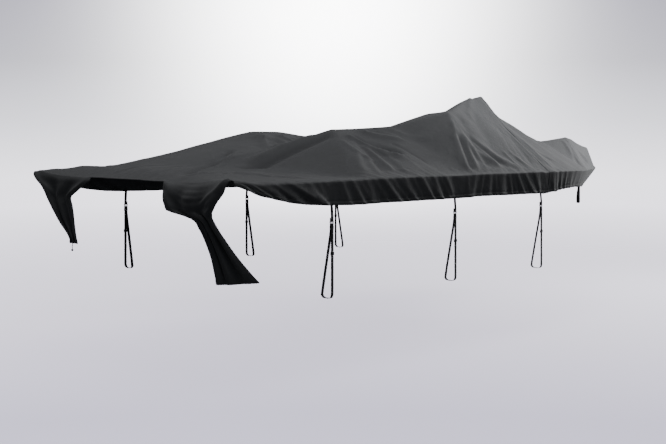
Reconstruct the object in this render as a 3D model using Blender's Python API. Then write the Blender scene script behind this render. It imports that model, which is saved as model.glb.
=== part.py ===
"""Fitted trailering cover for a 5.8 m open boat, as it lies over the boat with the boat left out.

Metres, +X to the bow, +Y to port, +Z up. The origin is the point under the top, on the centre line
at mid-length, where the boat carries the cloth. Heights in the tables are above the gunwale plane,
and places along the boat are distances forward of the transom, until place() moves them all.
"""

import math

import bmesh
import bpy
import numpy as np
from mathutils import Vector
from mathutils.geometry import delaunay_2d_cdt

# Driving sizes of the boat under the cloth, and of the cloth itself.
LENGTH = 5.79  # transom to bow tip, along the gunwale plane
ORIGIN_FROM_TRANSOM = 2.885
GUNWALE_BELOW_ORIGIN = 0.376
CLOTH = 0.003
PIECE_GAP = 0.0003

# The gunwale and the skirt that hangs from it. "rake" and "tuck" say how far the hem lies
# aft of the edge and inboard of it, as the hull draws in below.
STATION = ("from_transom", "half_width", "edge", "skirt", "tuck", "rake")
STATIONS = (
    (0.000, 1.190, 0.000, 0.030, 0.000, 0.000),
    (0.250, 1.190, 0.000, 0.085, 0.004, 0.000),
    (0.500, 1.200, 0.000, 0.135, 0.010, 0.000),
    (0.850, 1.210, 0.003, 0.165, 0.014, 0.000),
    (1.500, 1.210, 0.006, 0.176, 0.018, 0.000),
    (2.400, 1.210, 0.000, 0.174, 0.020, 0.000),
    (2.900, 1.210, 0.000, 0.177, 0.024, 0.000),
    (3.300, 1.200, 0.000, 0.178, 0.030, 0.000),
    (3.650, 1.150, 0.000, 0.155, 0.045, 0.000),
    (4.000, 1.035, -0.008, 0.150, 0.060, 0.010),
    (4.500, 0.770, -0.025, 0.155, 0.070, 0.030),
    (5.000, 0.455, -0.045, 0.165, 0.075, 0.080),
    (5.400, 0.220, -0.060, 0.174, 0.060, 0.150),
    (5.650, 0.105, -0.066, 0.185, 0.035, 0.215),
    (5.790, 0.030, -0.060, 0.190, 0.005, 0.255),
)
GUNWALE = dict(zip(STATION, zip(*STATIONS)))

# Where the boat holds the top up: distance from the transom, place to port, height.
SUPPORTS = {
    "deck_centre": (0.20, 0.15, 0.072),
    "deck_port": (0.28, 0.99, 0.073),
    "deck_port_hollow": (0.42, 0.87, 0.056),
    "port_side": (1.02, 0.76, 0.176),
    "deck_starboard": (0.34, -0.62, 0.060),
    "motor_well": (0.75, -0.30, 0.100),
    "port_seat_aft": (1.56, 0.50, 0.337),
    "port_seat": (1.74, 0.42, 0.335),
    "aisle": (1.80, 0.02, 0.272),
    "port_aisle": (2.20, 0.42, 0.284),
    "aisle_forward": (2.35, 0.05, 0.27),
    "starboard_seat_aft": (1.51, -0.50, 0.352),
    "starboard_seat": (1.74, -0.49, 0.358),
    "seat_step": (2.00, -0.67, 0.376),
    "console_inner": (2.50, -0.60, 0.478),
    "console": (2.45, -0.85, 0.488),
    "screen_foot": (2.66, -0.57, 0.462),
    "screen_side": (2.88, -0.66, 0.590),
    "screen": (3.18, -0.60, 0.636),
    "screen_shoulder": (3.22, -0.84, 0.350),
    "screen_inner": (3.12, -0.10, 0.435),
    "port_console": (2.80, 0.55, 0.300),
    "foredeck_a": (3.51, -0.50, 0.468),
    "foredeck_b": (3.98, -0.38, 0.347),
    "foredeck_c": (4.45, -0.18, 0.267),
    "valley": (4.86, 0.00, 0.238),
    "bow_hump": (5.30, 0.00, 0.280),
    "nose": (5.66, -0.02, 0.165),
    "nose_front": (5.755, 0.00, 0.070),
}
# Lines of tension between them, and down to the gunwale at a distance from the transom.
RIDGES = (
    ("deck_centre", "port_seat_aft"),
    ("deck_port_hollow", "port_side"),
    ("port_side", "port_seat_aft"),
    ("port_seat_aft", "port_seat"),
    ("starboard_seat_aft", "starboard_seat"),
    ("starboard_seat", "seat_step"),
    ("seat_step", "console_inner"),
    ("console_inner", "console"),
    ("console", "screen_side"),
    ("screen_side", "screen"),
    ("screen", "screen_shoulder"),
    ("screen", "screen_inner"),
    ("screen", "foredeck_a"),
    ("foredeck_a", "foredeck_b"),
    ("foredeck_b", "foredeck_c"),
    ("foredeck_c", "valley"),
    ("valley", "bow_hump"),
    ("bow_hump", "nose"),
    ("nose", "nose_front"),
)
RIDGES_TO_STARBOARD = (("console", 2.28), ("screen_shoulder", 3.31), ("bow_hump", 5.40))
RIDGES_TO_PORT = (("port_console", 2.60), ("port_seat", 1.60), ("bow_hump", 5.40))

# Over the transom's corners the edge rises: how much, from how far outboard, and how it fades.
CORNER = {"rise": 0.026, "inner": 0.75, "across": 0.40, "along": 0.25}

RIM_POINTS = 16
LATTICE = 0.03
ROUNDING_PASSES = 16
MOST_ROUNDING = 0.008  # how far a ridge may sink as it is rounded

# The top is cut in two at a cross seam, which leans forward as it runs outboard.
SEAM_AT = 3.10
SEAM_RAKE = 0.21
SEAM_REACH = 0.55
SEAM_BEND = 1.3
NOSE_ROUND = 0.03
NOSE_REACH = 0.30

# The sheet's grid.
ROWS_AFT = 60
ROWS_FORWARD = 42
CUT_OUT_PORT = 0.42
CUT_OUT_STARBOARD = -0.48
COLUMNS_STARBOARD, COLUMNS_CUT_OUT, COLUMNS_PORT = 7, 8, 7
SKIRT_STEPS = (0.14, 0.58, 1.0)  # shares of the skirt's depth
EDGE_ROLL = 0.012
EDGE_BAND = 0.06  # creases fade out over this strip inside the edge

# Long creases of the top, straight or bowed: both ends as (from transom, to port), how far the
# middle is bowed to port, rise of the cloth (negative for a trough) and half its width.
CREASES = {
    "well_trough": ((0.12, -0.52), (1.04, 0.07), -0.01, -0.022, 0.06),
    "seat_trough": ((1.50, -0.57), (0.58, -0.50), 0.04, -0.034, 0.08),
    "port_seat_ridge": ((1.60, 0.38), (1.09, -0.40), 0.02, 0.020, 0.07),
    "seat_fold": ((1.56, -0.58), (1.78, -1.01), -0.055, 0.022, 0.05),
    "seat_fold_trough": ((1.62, -0.60), (1.82, -0.99), -0.055, -0.018, 0.05),
    "console_fold": ((2.45, -0.88), (2.28, -1.20), 0.01, 0.018, 0.05),
    "console_trough": ((2.42, -0.98), (2.33, -1.20), 0.0, -0.018, 0.05),
    "aft_swell": ((1.46, -0.24), (0.62, -0.18), 0.0, 0.024, 0.12),
}

# Folds of the skirt: where each leaves the gunwale, how far it leans forward by the hem,
# how far it stands out there and half its width.
SKIRT_FOLDS = (
    (0.24, 0.17, 0.014, 0.045),
    (0.38, 0.16, 0.016, 0.045),
    (0.55, 0.24, 0.024, 0.060),
    (0.97, 0.05, 0.014, 0.050),
    (1.16, 0.08, 0.014, 0.045),
    (1.36, 0.18, 0.022, 0.055),
    (1.60, 0.22, 0.022, 0.055),
    (1.84, 0.13, 0.018, 0.045),
    (2.00, 0.08, 0.016, 0.045),
    (2.34, -0.04, 0.016, 0.050),
    (2.52, 0.00, 0.014, 0.045),
    (2.66, 0.03, 0.016, 0.045),
    (2.84, 0.02, 0.014, 0.050),
    (3.03, 0.05, 0.016, 0.045),
    (3.36, 0.04, 0.018, 0.055),
    (3.72, 0.02, 0.012, 0.060),
    (4.05, 0.00, 0.010, 0.060),
    (4.50, 0.00, 0.010, 0.070),
    (5.00, 0.00, 0.008, 0.070),
)
PORT_FOLD_SHIFT = 0.06
FOLD_FULL_DEPTH = 0.10  # a skirt or tail this deep carries its folds in full
STRAP_FLAT = 0.04  # half width of the flat that each strap pulls in the hem

# The two tails that fold down over the transom's corners, from the cut-out's end outboard.
# Drops below the edge, the two side edges' distances from the centre line, how far the cloth
# stands aft of the transom, and how far its outer edge wraps forward round the corner.
STARBOARD_TAIL = {
    "drop": (0.020, 0.060, 0.105, 0.150, 0.185, 0.200, 0.215, 0.280, 0.360, 0.450, 0.540, 0.625),
    "inner": (0.500, 0.525, 0.545, 0.575, 0.615, 0.730, 0.830, 0.915, 0.965, 1.005, 1.030, 1.045),
    "outer": (1.180, 1.155, 1.120, 1.090, 1.065, 1.065, 1.070, 1.100, 1.135, 1.160, 1.170, 1.170),
    "aft": (0.024, 0.048, 0.064, 0.070, 0.066, 0.062, 0.058, 0.046, 0.036, 0.026, 0.014, 0.004),
    "wrap": (0.000, 0.000, 0.000, 0.000, 0.000, 0.000, 0.000, 0.010, 0.040, 0.090, 0.160, 0.240),
}
PORT_TAIL = {
    "drop": (0.020, 0.060, 0.100, 0.145, 0.200, 0.260, 0.330, 0.395, 0.430, 0.455, 0.480),
    "inner": (0.410, 0.480, 0.550, 0.630, 0.610, 0.590, 0.575, 0.557, 0.545, 0.537, 0.528),
    "outer": (1.180, 1.090, 1.030, 0.980, 0.930, 0.866, 0.782, 0.682, 0.638, 0.622, 0.622),
    "aft": (0.022, 0.040, 0.048, 0.048, 0.048, 0.046, 0.044, 0.040, 0.038, 0.036, 0.034),
    "wrap": (0.000,) * 11,
}
TAIL_FOLDS = 2.5
TAIL_FOLD_DEPTH = 0.012

# Straps: webbing with a side-release buckle on each side of the boat, and one at the bow.
STRAPS = {"aft": 0.83, "mid": 2.11, "fore": 3.21}
WEBBING_WIDTH = 0.025
WEBBING = 0.002
BUCKLE = (0.034, 0.008, 0.056)  # along the boat, through, up
BUCKLE_TOP = -0.262
BAR = 0.004
SLOT = 0.007
STRAP_BOTTOM = -0.78
STRAP_SPREAD = 0.10
STRAP_BEND = 0.03
STRAP_TURNS = (0.012, 0.034)  # below the buckle: where the long leg and the free end leave it
TAB_LAP = 0.020
SLIDER = (0.032, 0.006, 0.020)
SLIDER_AT = -0.48
BOW_STRAP_DROP = 0.18
BOW_STRAP_SPREAD = 0.030
BOW_STRAP_STRAIGHT = 0.05  # from the hem to where its legs part
CORD = 0.006
CORD_LENGTH = 0.038
CORD_INBOARD = 0.015  # from the tail's outer corner
KNOT = 0.018


def curve_through(xs, ys):
    """A smooth function through the points, flat where they are level."""
    xs, ys = np.array(xs), np.array(ys)
    steps = np.diff(ys) / np.diff(xs)
    slopes = np.concatenate([[steps[0]], 0.5 * (steps[1:] + steps[:-1]), [steps[-1]]])

    def value(at):
        at = np.clip(at, xs[0], xs[-1])
        k = np.clip(np.searchsorted(xs, at, side="right") - 1, 0, len(steps) - 1)
        width = xs[k + 1] - xs[k]
        f = (at - xs[k]) / width
        near = ys[k] * (2 * f**3 - 3 * f**2 + 1) + ys[k + 1] * (3 * f**2 - 2 * f**3)
        return near + width * (slopes[k] * (f**3 - 2 * f**2 + f) + slopes[k + 1] * (f**3 - f**2))

    return value


HALF_WIDTH, EDGE, SKIRT, TUCK, RAKE = (
    curve_through(GUNWALE["from_transom"], GUNWALE[column]) for column in STATION[1:]
)


def smooth_step(value):
    value = np.clip(value, 0, 1)
    return value * value * (3 - 2 * value)


def facets():
    """Corners (with heights above the edge) and triangles of the taut cloth between its supports."""
    names = list(SUPPORTS)
    corners = [SUPPORTS[name] for name in names]
    heights = [z - float(EDGE(s)) for s, _, z in corners]
    plan = [(s, y) for s, y, _ in corners]
    lines = [(names.index(a), names.index(b)) for a, b in RIDGES]
    ridge_ends = {s for _, s in RIDGES_TO_STARBOARD + RIDGES_TO_PORT}
    rim = sorted({*np.round(np.linspace(0, LENGTH, RIM_POINTS), 3), *ridge_ends})
    rims = {}
    for side in (-1, 1):
        rims[side] = list(range(len(plan), len(plan) + len(rim)))
        plan += [(s, side * float(HALF_WIDTH(s))) for s in rim]
        heights += [0.0] * len(rim)
    outline = rims[-1] + rims[1][::-1]
    lines += list(zip(outline, outline[1:] + outline[:1]))
    for side, ridges in ((-1, RIDGES_TO_STARBOARD), (1, RIDGES_TO_PORT)):
        lines += [(names.index(name), rims[side][rim.index(s)]) for name, s in ridges]
    found, _, triangles, origins, _, _ = delaunay_2d_cdt([Vector(p) for p in plan], lines, [], 0, 1e-6)
    heights = [heights[min(origin)] if origin else 0.0 for origin in origins]
    return np.array([(*p, z) for p, z in zip(found, heights)]), np.array(triangles)


def rise_lattice():
    """Rise of the top above the gunwale on a square lattice, its ridges rounded and its supports kept."""
    s_line = np.arange(-0.2, LENGTH + 0.2, LATTICE)
    y_line = np.arange(-1.4, 1.4 + LATTICE, LATTICE)
    s_grid, y_grid = np.meshgrid(s_line, y_line, indexing="ij")
    rise = np.zeros_like(s_grid)
    corners, triangles = facets()
    for a, b, c in corners[triangles]:
        area = (b[0] - a[0]) * (c[1] - a[1]) - (c[0] - a[0]) * (b[1] - a[1])
        if abs(area) < 1e-9:
            continue
        u = ((b[0] - s_grid) * (c[1] - y_grid) - (c[0] - s_grid) * (b[1] - y_grid)) / area
        v = ((c[0] - s_grid) * (a[1] - y_grid) - (a[0] - s_grid) * (c[1] - y_grid)) / area
        w = 1 - u - v
        inside = (u >= -1e-9) & (v >= -1e-9) & (w >= -1e-9)
        rise[inside] = (u * a[2] + v * b[2] + w * c[2])[inside]
    outside = (np.abs(y_grid) >= HALF_WIDTH(s_grid)) | (s_grid <= 0) | (s_grid >= LENGTH)
    rise[outside] = 0.0
    least = rise - MOST_ROUNDING
    for _ in range(ROUNDING_PASSES):
        around = rise[2:, 1:-1] + rise[:-2, 1:-1] + rise[1:-1, 2:] + rise[1:-1, :-2]
        rise[1:-1, 1:-1] = 0.5 * rise[1:-1, 1:-1] + 0.125 * around
        rise = np.maximum(rise, least)
        rise[outside] = 0.0
    return s_line, y_line, rise


S_LINE, Y_LINE, RISE = rise_lattice()


def rise_at(s, y):
    """The lattice read between its points."""
    fs = np.clip((s - S_LINE[0]) / LATTICE, 0, len(S_LINE) - 1.001)
    fy = np.clip((y - Y_LINE[0]) / LATTICE, 0, len(Y_LINE) - 1.001)
    i, j = fs.astype(int), fy.astype(int)
    fs, fy = fs - i, fy - j
    near = RISE[i, j] * (1 - fy) + RISE[i, j + 1] * fy
    far = RISE[i + 1, j] * (1 - fy) + RISE[i + 1, j + 1] * fy
    return near * (1 - fs) + far * fs


def place(points):
    """From distances off the transom and heights above the gunwale to the part's own frame."""
    return np.asarray(points) - (ORIGIN_FROM_TRANSOM, 0.0, GUNWALE_BELOW_ORIGIN)


def bump(distance, half_width):
    """A soft fold's profile: 1 on its line and 0 from twice its half width on."""
    return smooth_step(1 - np.abs(distance) / (2 * half_width))


def crease_rise(s, y):
    """Rise of the top from its long creases."""
    total = np.zeros_like(s)
    for (s0, y0), (s1, y1), bow, rise, half_width in CREASES.values():
        along = np.array((s1 - s0, y1 - y0))
        length = math.hypot(*along)
        along /= length
        reach = ((s - s0) * along[0] + (y - y0) * along[1]) / length
        off = (y - y0) * along[0] - (s - s0) * along[1]
        off = off - np.sign(along[0]) * bow * 4 * reach * (1 - reach)
        ends = smooth_step(reach / 0.15) * smooth_step((1 - reach) / 0.15)
        total += rise * ends * bump(off, half_width)
    return total


def corner_rise(s, y):
    """Rise of the top towards the transom's two corners."""
    outboard = smooth_step((np.abs(y) - CORNER["inner"]) / CORNER["across"])
    return CORNER["rise"] * outboard * (1 - smooth_step(s / CORNER["along"]))


def top_height(s, y):
    """Height of the cloth above the gunwale plane."""
    inboard = smooth_step((HALF_WIDTH(s) - np.abs(y)) / EDGE_BAND)
    return EDGE(s) + corner_rise(s, y) + rise_at(s, y) + inboard * crease_rise(s, y)


def skirt_fold(s, share, side):
    """How far the skirt stands out at a share of its depth."""
    total = np.zeros_like(s)
    shift = PORT_FOLD_SHIFT if side > 0 else 0.0
    for at, lean, out, half_width in SKIRT_FOLDS:
        total += out * bump(s - at - shift - lean * share, half_width)
    for strap in STRAPS.values():
        total *= 1 - bump(s - strap, STRAP_FLAT)
    return total * (0.25 + 0.75 * share)


def column_shares():
    """Places of the columns across the top, from -1 at starboard to 1 at port."""
    width = GUNWALE["half_width"][0]
    stops = (-1.0, CUT_OUT_STARBOARD / width, CUT_OUT_PORT / width, 1.0)
    counts = (COLUMNS_STARBOARD, COLUMNS_CUT_OUT, COLUMNS_PORT)
    shares = [np.linspace(a, b, n, endpoint=False) for a, b, n in zip(stops, stops[1:], counts)]
    return np.append(np.concatenate(shares), 1.0)


def top_grid():
    """The top's points, a row for each station."""
    rows = np.concatenate(
        [
            np.linspace(0, SEAM_AT, ROWS_AFT, endpoint=False),
            np.linspace(SEAM_AT, LENGTH - NOSE_ROUND, ROWS_FORWARD + 1),
        ]
    )
    s, t = np.meshgrid(rows, column_shares(), indexing="ij")
    near_seam = np.exp(-(((s - SEAM_AT) / SEAM_REACH) ** 2))
    s = s + SEAM_RAKE * near_seam * np.abs(t) ** SEAM_BEND
    s = s + NOSE_ROUND * (1 - t**2) * smooth_step((s - LENGTH + NOSE_REACH) / NOSE_REACH)
    y = t * HALF_WIDTH(s)
    return np.stack([s, y, top_height(s, y)], axis=-1)


def skirt_rings(edge):
    """Rings of the skirt below the points of the edge, which run from port round the bow to starboard."""
    along = np.gradient(edge[:, :2], axis=0)
    out = np.stack([-along[:, 1], along[:, 0]], axis=1)
    out /= np.linalg.norm(out, axis=1)[:, None]
    s, side = edge[:, 0], np.sign(edge[:, 1])
    depth = SKIRT(s)
    rings = []
    for share in SKIRT_STEPS:
        fold = np.where(side > 0, skirt_fold(s, share, 1), skirt_fold(s, share, -1))
        ring = edge.copy()
        ring[:, :2] += out * (EDGE_ROLL + fold * smooth_step(depth / FOLD_FULL_DEPTH))[:, None]
        ring[:, 0] -= RAKE(s) * share
        ring[:, 1] -= np.sign(edge[:, 1]) * np.minimum(TUCK(s), 0.5 * np.abs(edge[:, 1])) * share
        ring[:, 2] -= depth * share
        rings.append(ring)
    return rings


def tail_rows(edge, sizes, side):
    """Rows of a tail below the transom's edge, whose points run from the cut-out outboard."""
    share = (edge[:, 1] - edge[0, 1]) / (edge[-1, 1] - edge[0, 1])
    rows = []
    for drop, inner, outer, aft, wrap in zip(*sizes.values()):
        y = side * (inner + (outer - inner) * share)
        depth = TAIL_FOLD_DEPTH * smooth_step(drop / FOLD_FULL_DEPTH)
        x = -aft + wrap * share**2 - depth * np.sin(2 * math.pi * TAIL_FOLDS * share)
        z = edge[:, 2] * (1 - smooth_step(drop / EDGE_BAND)) - drop
        rows.append(np.stack([x, y, z], axis=1))
    return rows


def strip_faces(rows):
    """Quads between rows of point numbers, each row as long as the next."""
    return [
        (a[k], a[k + 1], b[k + 1], b[k])
        for a, b in zip(rows, rows[1:])
        for k in range(len(a) - 1)
    ]


class Sheet:
    """The whole cloth as one surface: its points, its quads and the panel that each quad belongs to."""

    def __init__(self):
        self.points, self.faces = [], []

    def add(self, points):
        first = len(self.points)
        self.points += [tuple(point) for point in points]
        return list(range(first, first + len(points)))


def cloth_sheet():
    """The sheet's points and, for each panel, its quads, facing out."""
    sheet = Sheet()
    grid = top_grid()
    rows = [sheet.add(row) for row in grid]
    last = len(rows) - 1
    edge = [row[-1] for row in rows]
    edge += rows[-1][-2:0:-1]
    edge += [row[0] for row in rows[::-1]]
    row_of = list(range(last + 1)) + [last] * (len(rows[0]) - 2) + list(range(last, -1, -1))
    edge_points = np.array([sheet.points[k] for k in edge])
    rings = [edge] + [sheet.add(ring) for ring in skirt_rings(edge_points)]
    panels = {"aft": [], "fore": []}
    for k, (a, b) in enumerate(zip(rows, rows[1:])):
        panels["aft" if k < ROWS_AFT else "fore"] += strip_faces([b, a])
    for a, b in zip(rings, rings[1:]):
        for k in range(len(a) - 1):
            aft = max(row_of[k], row_of[k + 1]) <= ROWS_AFT
            panels["aft" if aft else "fore"].append((a[k], a[k + 1], b[k + 1], b[k]))
    starboard = rows[0][COLUMNS_STARBOARD::-1]
    port = rows[0][-COLUMNS_PORT - 1 :]
    for start, sizes, side in ((starboard, STARBOARD_TAIL, -1), (port, PORT_TAIL, 1)):
        edge_points = np.array([sheet.points[k] for k in start])
        tail = [start] + [sheet.add(row) for row in tail_rows(edge_points, sizes, side)]
        faces = strip_faces(tail)
        panels["aft"] += [face[::-1] for face in faces] if side < 0 else faces
    seam = rows[ROWS_AFT] + [ring[k] for ring in rings for k in range(len(edge)) if row_of[k] == ROWS_AFT]
    return np.array(sheet.points), panels, sorted(set(seam))


def material(name, colour, roughness, metallic=0.0):
    made = bpy.data.materials.new(name)
    made.use_nodes = True
    shader = made.node_tree.nodes["Principled BSDF"]
    shader.inputs["Base Color"].default_value = (*colour, 1.0)
    shader.inputs["Roughness"].default_value = roughness
    shader.inputs["Metallic"].default_value = metallic
    made.diffuse_color = (*colour, 1.0)
    return made


def add_object(name, mesh, finish, parent, location=(0.0, 0.0, 0.0)):
    made = bpy.data.objects.new(name, mesh)
    made.location = location
    made.parent = parent
    if not mesh.materials:
        mesh.materials.append(finish)
    bpy.context.scene.collection.objects.link(made)
    return made


def mesh_of(name, points, faces):
    mesh = bpy.data.meshes.new(name)
    mesh.from_pydata([tuple(point) for point in points], [], faces)
    mesh.validate()
    return mesh


def sheet_normals(points, faces):
    """The normals at the points of the whole sheet, so that panels cut from it still meet."""
    form = bmesh.new()
    corners = [form.verts.new(point) for point in points]
    for face in faces:
        form.faces.new([corners[k] for k in face])
    form.normal_update()
    normals = np.array([tuple(corner.normal) for corner in corners])
    form.free()
    return normals


def triangles_of(points, faces):
    """Each quad cut along its shorter diagonal, so that both sides of the cloth bend on one line."""
    cut = []
    for a, b, c, d in faces:
        if np.linalg.norm(points[a] - points[c]) <= np.linalg.norm(points[b] - points[d]):
            cut += [(a, b, c), (a, c, d)]
        else:
            cut += [(a, b, d), (b, c, d)]
    return cut


def panel_mesh(name, points, normals, quads):
    """A closed solid of the cloth's thickness below the given quads."""
    faces = triangles_of(points, quads)
    used = sorted({k for face in faces for k in face})
    place_of = {k: i for i, k in enumerate(used)}
    outer = points[used]
    inner = outer - CLOTH * normals[used]
    fronts = [tuple(place_of[k] for k in face) for face in faces]
    backs = [tuple(k + len(used) for k in face[::-1]) for face in fronts]
    edges = {(a, b) for face in fronts for a, b in zip(face, face[1:] + face[:1])}
    rim = [(b, a, a + len(used), b + len(used)) for a, b in edges if (b, a) not in edges]
    return mesh_of(name, np.concatenate([outer, inner]), fronts + backs + sorted(rim))


def add_panels(finish, parent):
    points, panels, seam = cloth_sheet()
    points = place(points)
    normals = sheet_normals(points, panels["aft"] + panels["fore"])
    for panel, step in (("aft", -0.5), ("fore", 0.5)):
        parted = points.copy()
        parted[seam, 0] += step * PIECE_GAP * 1.2
        mesh = panel_mesh(f"cover_{panel}", parted, normals, panels[panel])
        add_object(f"cover_{panel}", mesh, finish, parent)


def strip_mesh(name, path, across):
    """Webbing along a path, its width lying along the axis across."""
    path = [Vector(point) for point in path]
    across = Vector(across).normalized()
    points = []
    for k, point in enumerate(path):
        before = (point - path[k - 1]).normalized() if k else None
        after = (path[k + 1] - point).normalized() if k + 1 < len(path) else None
        along = ((before or after) + (after or before)).normalized()
        stretch = 1 / max(0.5, along.dot(after or before))
        through = across.cross(along).normalized() * stretch * 0.5 * WEBBING
        sideways = across * 0.5 * WEBBING_WIDTH
        points += [point + sideways + through, point - sideways + through]
        points += [point - sideways - through, point + sideways - through]
    faces = [(0, 1, 2, 3)]
    for k in range(len(path) - 1):
        a = 4 * k
        faces += [(a + (i + 1) % 4, a + i, a + 4 + i, a + 4 + (i + 1) % 4) for i in range(4)]
    end = 4 * (len(path) - 1)
    faces.append((end + 3, end + 2, end + 1, end))
    return mesh_of(name, points, faces)


def slotted_plate_mesh(name):
    """A buckle: a plate with a webbing slot inside each end."""
    width, depth, height = BUCKLE
    slot = 0.5 * WEBBING_WIDTH + 0.001
    xs = (-0.5 * width, -slot, slot, 0.5 * width)
    zs = (0.0, -BAR, -BAR - SLOT, BAR + SLOT - height, BAR - height, -height)
    form = bmesh.new()
    corners = [[form.verts.new((x, -0.5 * depth, z)) for z in zs] for x in xs]
    cells = [(i, k) for i in range(3) for k in range(5) if (i, k) not in ((1, 1), (1, 3))]
    for i, k in cells:
        form.faces.new((corners[i][k], corners[i][k + 1], corners[i + 1][k + 1], corners[i + 1][k]))
    grown = bmesh.ops.extrude_face_region(form, geom=form.faces[:])
    raised = [v for v in grown["geom"] if isinstance(v, bmesh.types.BMVert)]
    bmesh.ops.translate(form, verts=raised, vec=(0, depth, 0))
    bmesh.ops.recalc_face_normals(form, faces=form.faces)
    mesh = bpy.data.meshes.new(name)
    form.to_mesh(mesh)
    form.free()
    return mesh


def sleeve_mesh(name):
    """A slider: a flat ring that the webbing runs through."""
    width, depth, height = SLIDER
    hole = (WEBBING_WIDTH + 0.0012, WEBBING + 0.0012)
    points, faces = [], []
    for z in (-0.5 * height, 0.5 * height):
        for wide, deep in ((width, depth), hole):
            points += [(sx * wide / 2, sy * deep / 2, z) for sx, sy in ((-1, -1), (1, -1), (1, 1), (-1, 1))]
    for k in range(4):
        n = (k + 1) % 4
        faces += [(k, n, 8 + n, 8 + k), (4 + n, 4 + k, 12 + k, 12 + n)]
        faces += [(n, k, 4 + k, 4 + n), (8 + k, 8 + n, 12 + n, 12 + k)]
    return mesh_of(name, points, faces)


def hem_point(s, side):
    """Middle of the hem at a strap: from transom, to port, height."""
    y = HALF_WIDTH(s) + EDGE_ROLL - TUCK(s) - 0.5 * CLOTH
    return np.array((s, side * y, EDGE(s) - SKIRT(s)))


def arc(centre, radius, start, end, steps):
    turns = np.radians(np.linspace(start, end, steps))
    return [(centre[0] + radius * math.cos(a), centre[1] + radius * math.sin(a)) for a in turns]


def strap_paths(hem_height):
    """Tab and loop of a strap as (outboard of the hem, height) points."""
    face = 0.5 * BUCKLE[1] + PIECE_GAP + 0.5 * WEBBING
    top, bottom = BUCKLE_TOP, BUCKLE_TOP - BUCKLE[2]
    slot_top, slot_bottom = top - BAR - 0.5 * SLOT, bottom + BAR + 0.5 * SLOT
    tab = [(0, hem_height - 2 * PIECE_GAP), (face, top + TAB_LAP), (face, slot_top)]
    tab += [(-face, slot_top), (-face, top + TAB_LAP)]
    turn = STRAP_BOTTOM + STRAP_BEND
    inner = face - STRAP_SPREAD
    near, far = STRAP_TURNS
    loop = [(-face, bottom - TAB_LAP), (-face, slot_bottom), (face, slot_bottom), (face, bottom - near)]
    loop += [(face, z) for z in np.linspace(bottom - 2 * far, turn, 6, endpoint=False)]
    loop += arc((face - STRAP_BEND, turn), STRAP_BEND, 0, -90, 5)
    loop += arc((inner + STRAP_BEND, turn), STRAP_BEND, -90, -167, 5)
    loop += [(-face - 3 * WEBBING, bottom - far)]
    return tab, loop


def add_straps(webbing, plastic, parent):
    buckle, slider = slotted_plate_mesh("buckle"), sleeve_mesh("slider")
    for strap, s in STRAPS.items():
        for side, side_name in ((-1, "starboard"), (1, "port")):
            name = f"strap_{side_name}_{strap}"
            x, y, hem = hem_point(s, side)
            tab, loop = strap_paths(hem)
            for piece, path in (("tab", tab), ("loop", loop)):
                run = place([(x, y + side * out, z) for out, z in path])
                ribbon = strip_mesh(f"{name}_{piece}", run, (1, 0, 0))
                add_object(f"{name}_{piece}", ribbon, webbing, parent)
            add_object(f"{name}_buckle", buckle, plastic, parent, place((x, y, BUCKLE_TOP)))
            leg = y + side * (0.5 * BUCKLE[1] + PIECE_GAP + 0.5 * WEBBING)
            add_object(f"{name}_slider", slider, plastic, parent, place((x, leg, SLIDER_AT)))


def add_bow_strap(webbing, parent):
    top = float(EDGE(LENGTH) - SKIRT(LENGTH)) - 2 * PIECE_GAP
    x = LENGTH - float(RAKE(LENGTH)) + EDGE_ROLL - 0.5 * CLOTH
    bend = 0.5 * BOW_STRAP_SPREAD
    turn = top - BOW_STRAP_DROP + bend
    middle = 0.5 * (top - BOW_STRAP_STRAIGHT + turn)
    path = [(x, top), (x, top - BOW_STRAP_STRAIGHT), (x, middle)]
    path += arc((x - bend, turn), bend, 0, -180, 7)
    path += [(x - BOW_STRAP_SPREAD, middle), (x - 4 * WEBBING, top - 4 * WEBBING)]
    run = place([(s, 0.0, z) for s, z in path])
    add_object("strap_bow", strip_mesh("strap_bow", run, (0, 1, 0)), webbing, parent)


def add_cord_end(cord_finish, parent):
    """The short knotted end of the hem's draw cord, below the port tail's outer corner."""
    drop, _, outer, aft, _ = (row[-1] for row in PORT_TAIL.values())
    start = np.array((-aft, outer - CORD_INBOARD, -drop - 4 * PIECE_GAP))
    bends = ((0.0, 0.0), (0.001, -0.2), (0.004, -0.45), (0.006, -0.7), (0.007, -1.0))
    run = place([start + (0.4 * out, out, CORD_LENGTH * down) for out, down in bends])
    curve = bpy.data.curves.new("cord_end", "CURVE")
    curve.dimensions = "3D"
    curve.bevel_depth = 0.5 * CORD
    curve.bevel_resolution = 2
    curve.use_fill_caps = True
    spline = curve.splines.new("POLY")
    spline.points.add(len(run) - 1)
    for point, at in zip(spline.points, run):
        point.co = (*at, 1.0)
    add_object("cord_end", curve, cord_finish, parent)
    form = bmesh.new()
    bmesh.ops.create_uvsphere(form, u_segments=10, v_segments=7, radius=0.5 * KNOT)
    for corner in form.verts:
        turn = math.atan2(corner.co.y, corner.co.x)
        corner.co *= 1 + 0.10 * math.cos(2 * turn + 60 * corner.co.z)
    mesh = bpy.data.meshes.new("cord_knot")
    form.to_mesh(mesh)
    form.free()
    below = (0.0, 0.0, -0.58 * KNOT - PIECE_GAP)
    add_object("cord_knot", mesh, cord_finish, parent, run[-1] + below)


def main():
    for old in list(bpy.data.objects):
        bpy.data.objects.remove(old)
    polyester = material("charcoal_polyester", (0.035, 0.037, 0.040), 0.85)
    webbing = material("black_webbing", (0.012, 0.012, 0.013), 0.80)
    plastic = material("black_plastic", (0.010, 0.010, 0.011), 0.45)
    cover = bpy.data.objects.new("cover", None)
    bpy.context.scene.collection.objects.link(cover)
    add_panels(polyester, cover)
    add_straps(webbing, plastic, cover)
    add_bow_strap(webbing, cover)
    add_cord_end(webbing, cover)


main()
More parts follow.
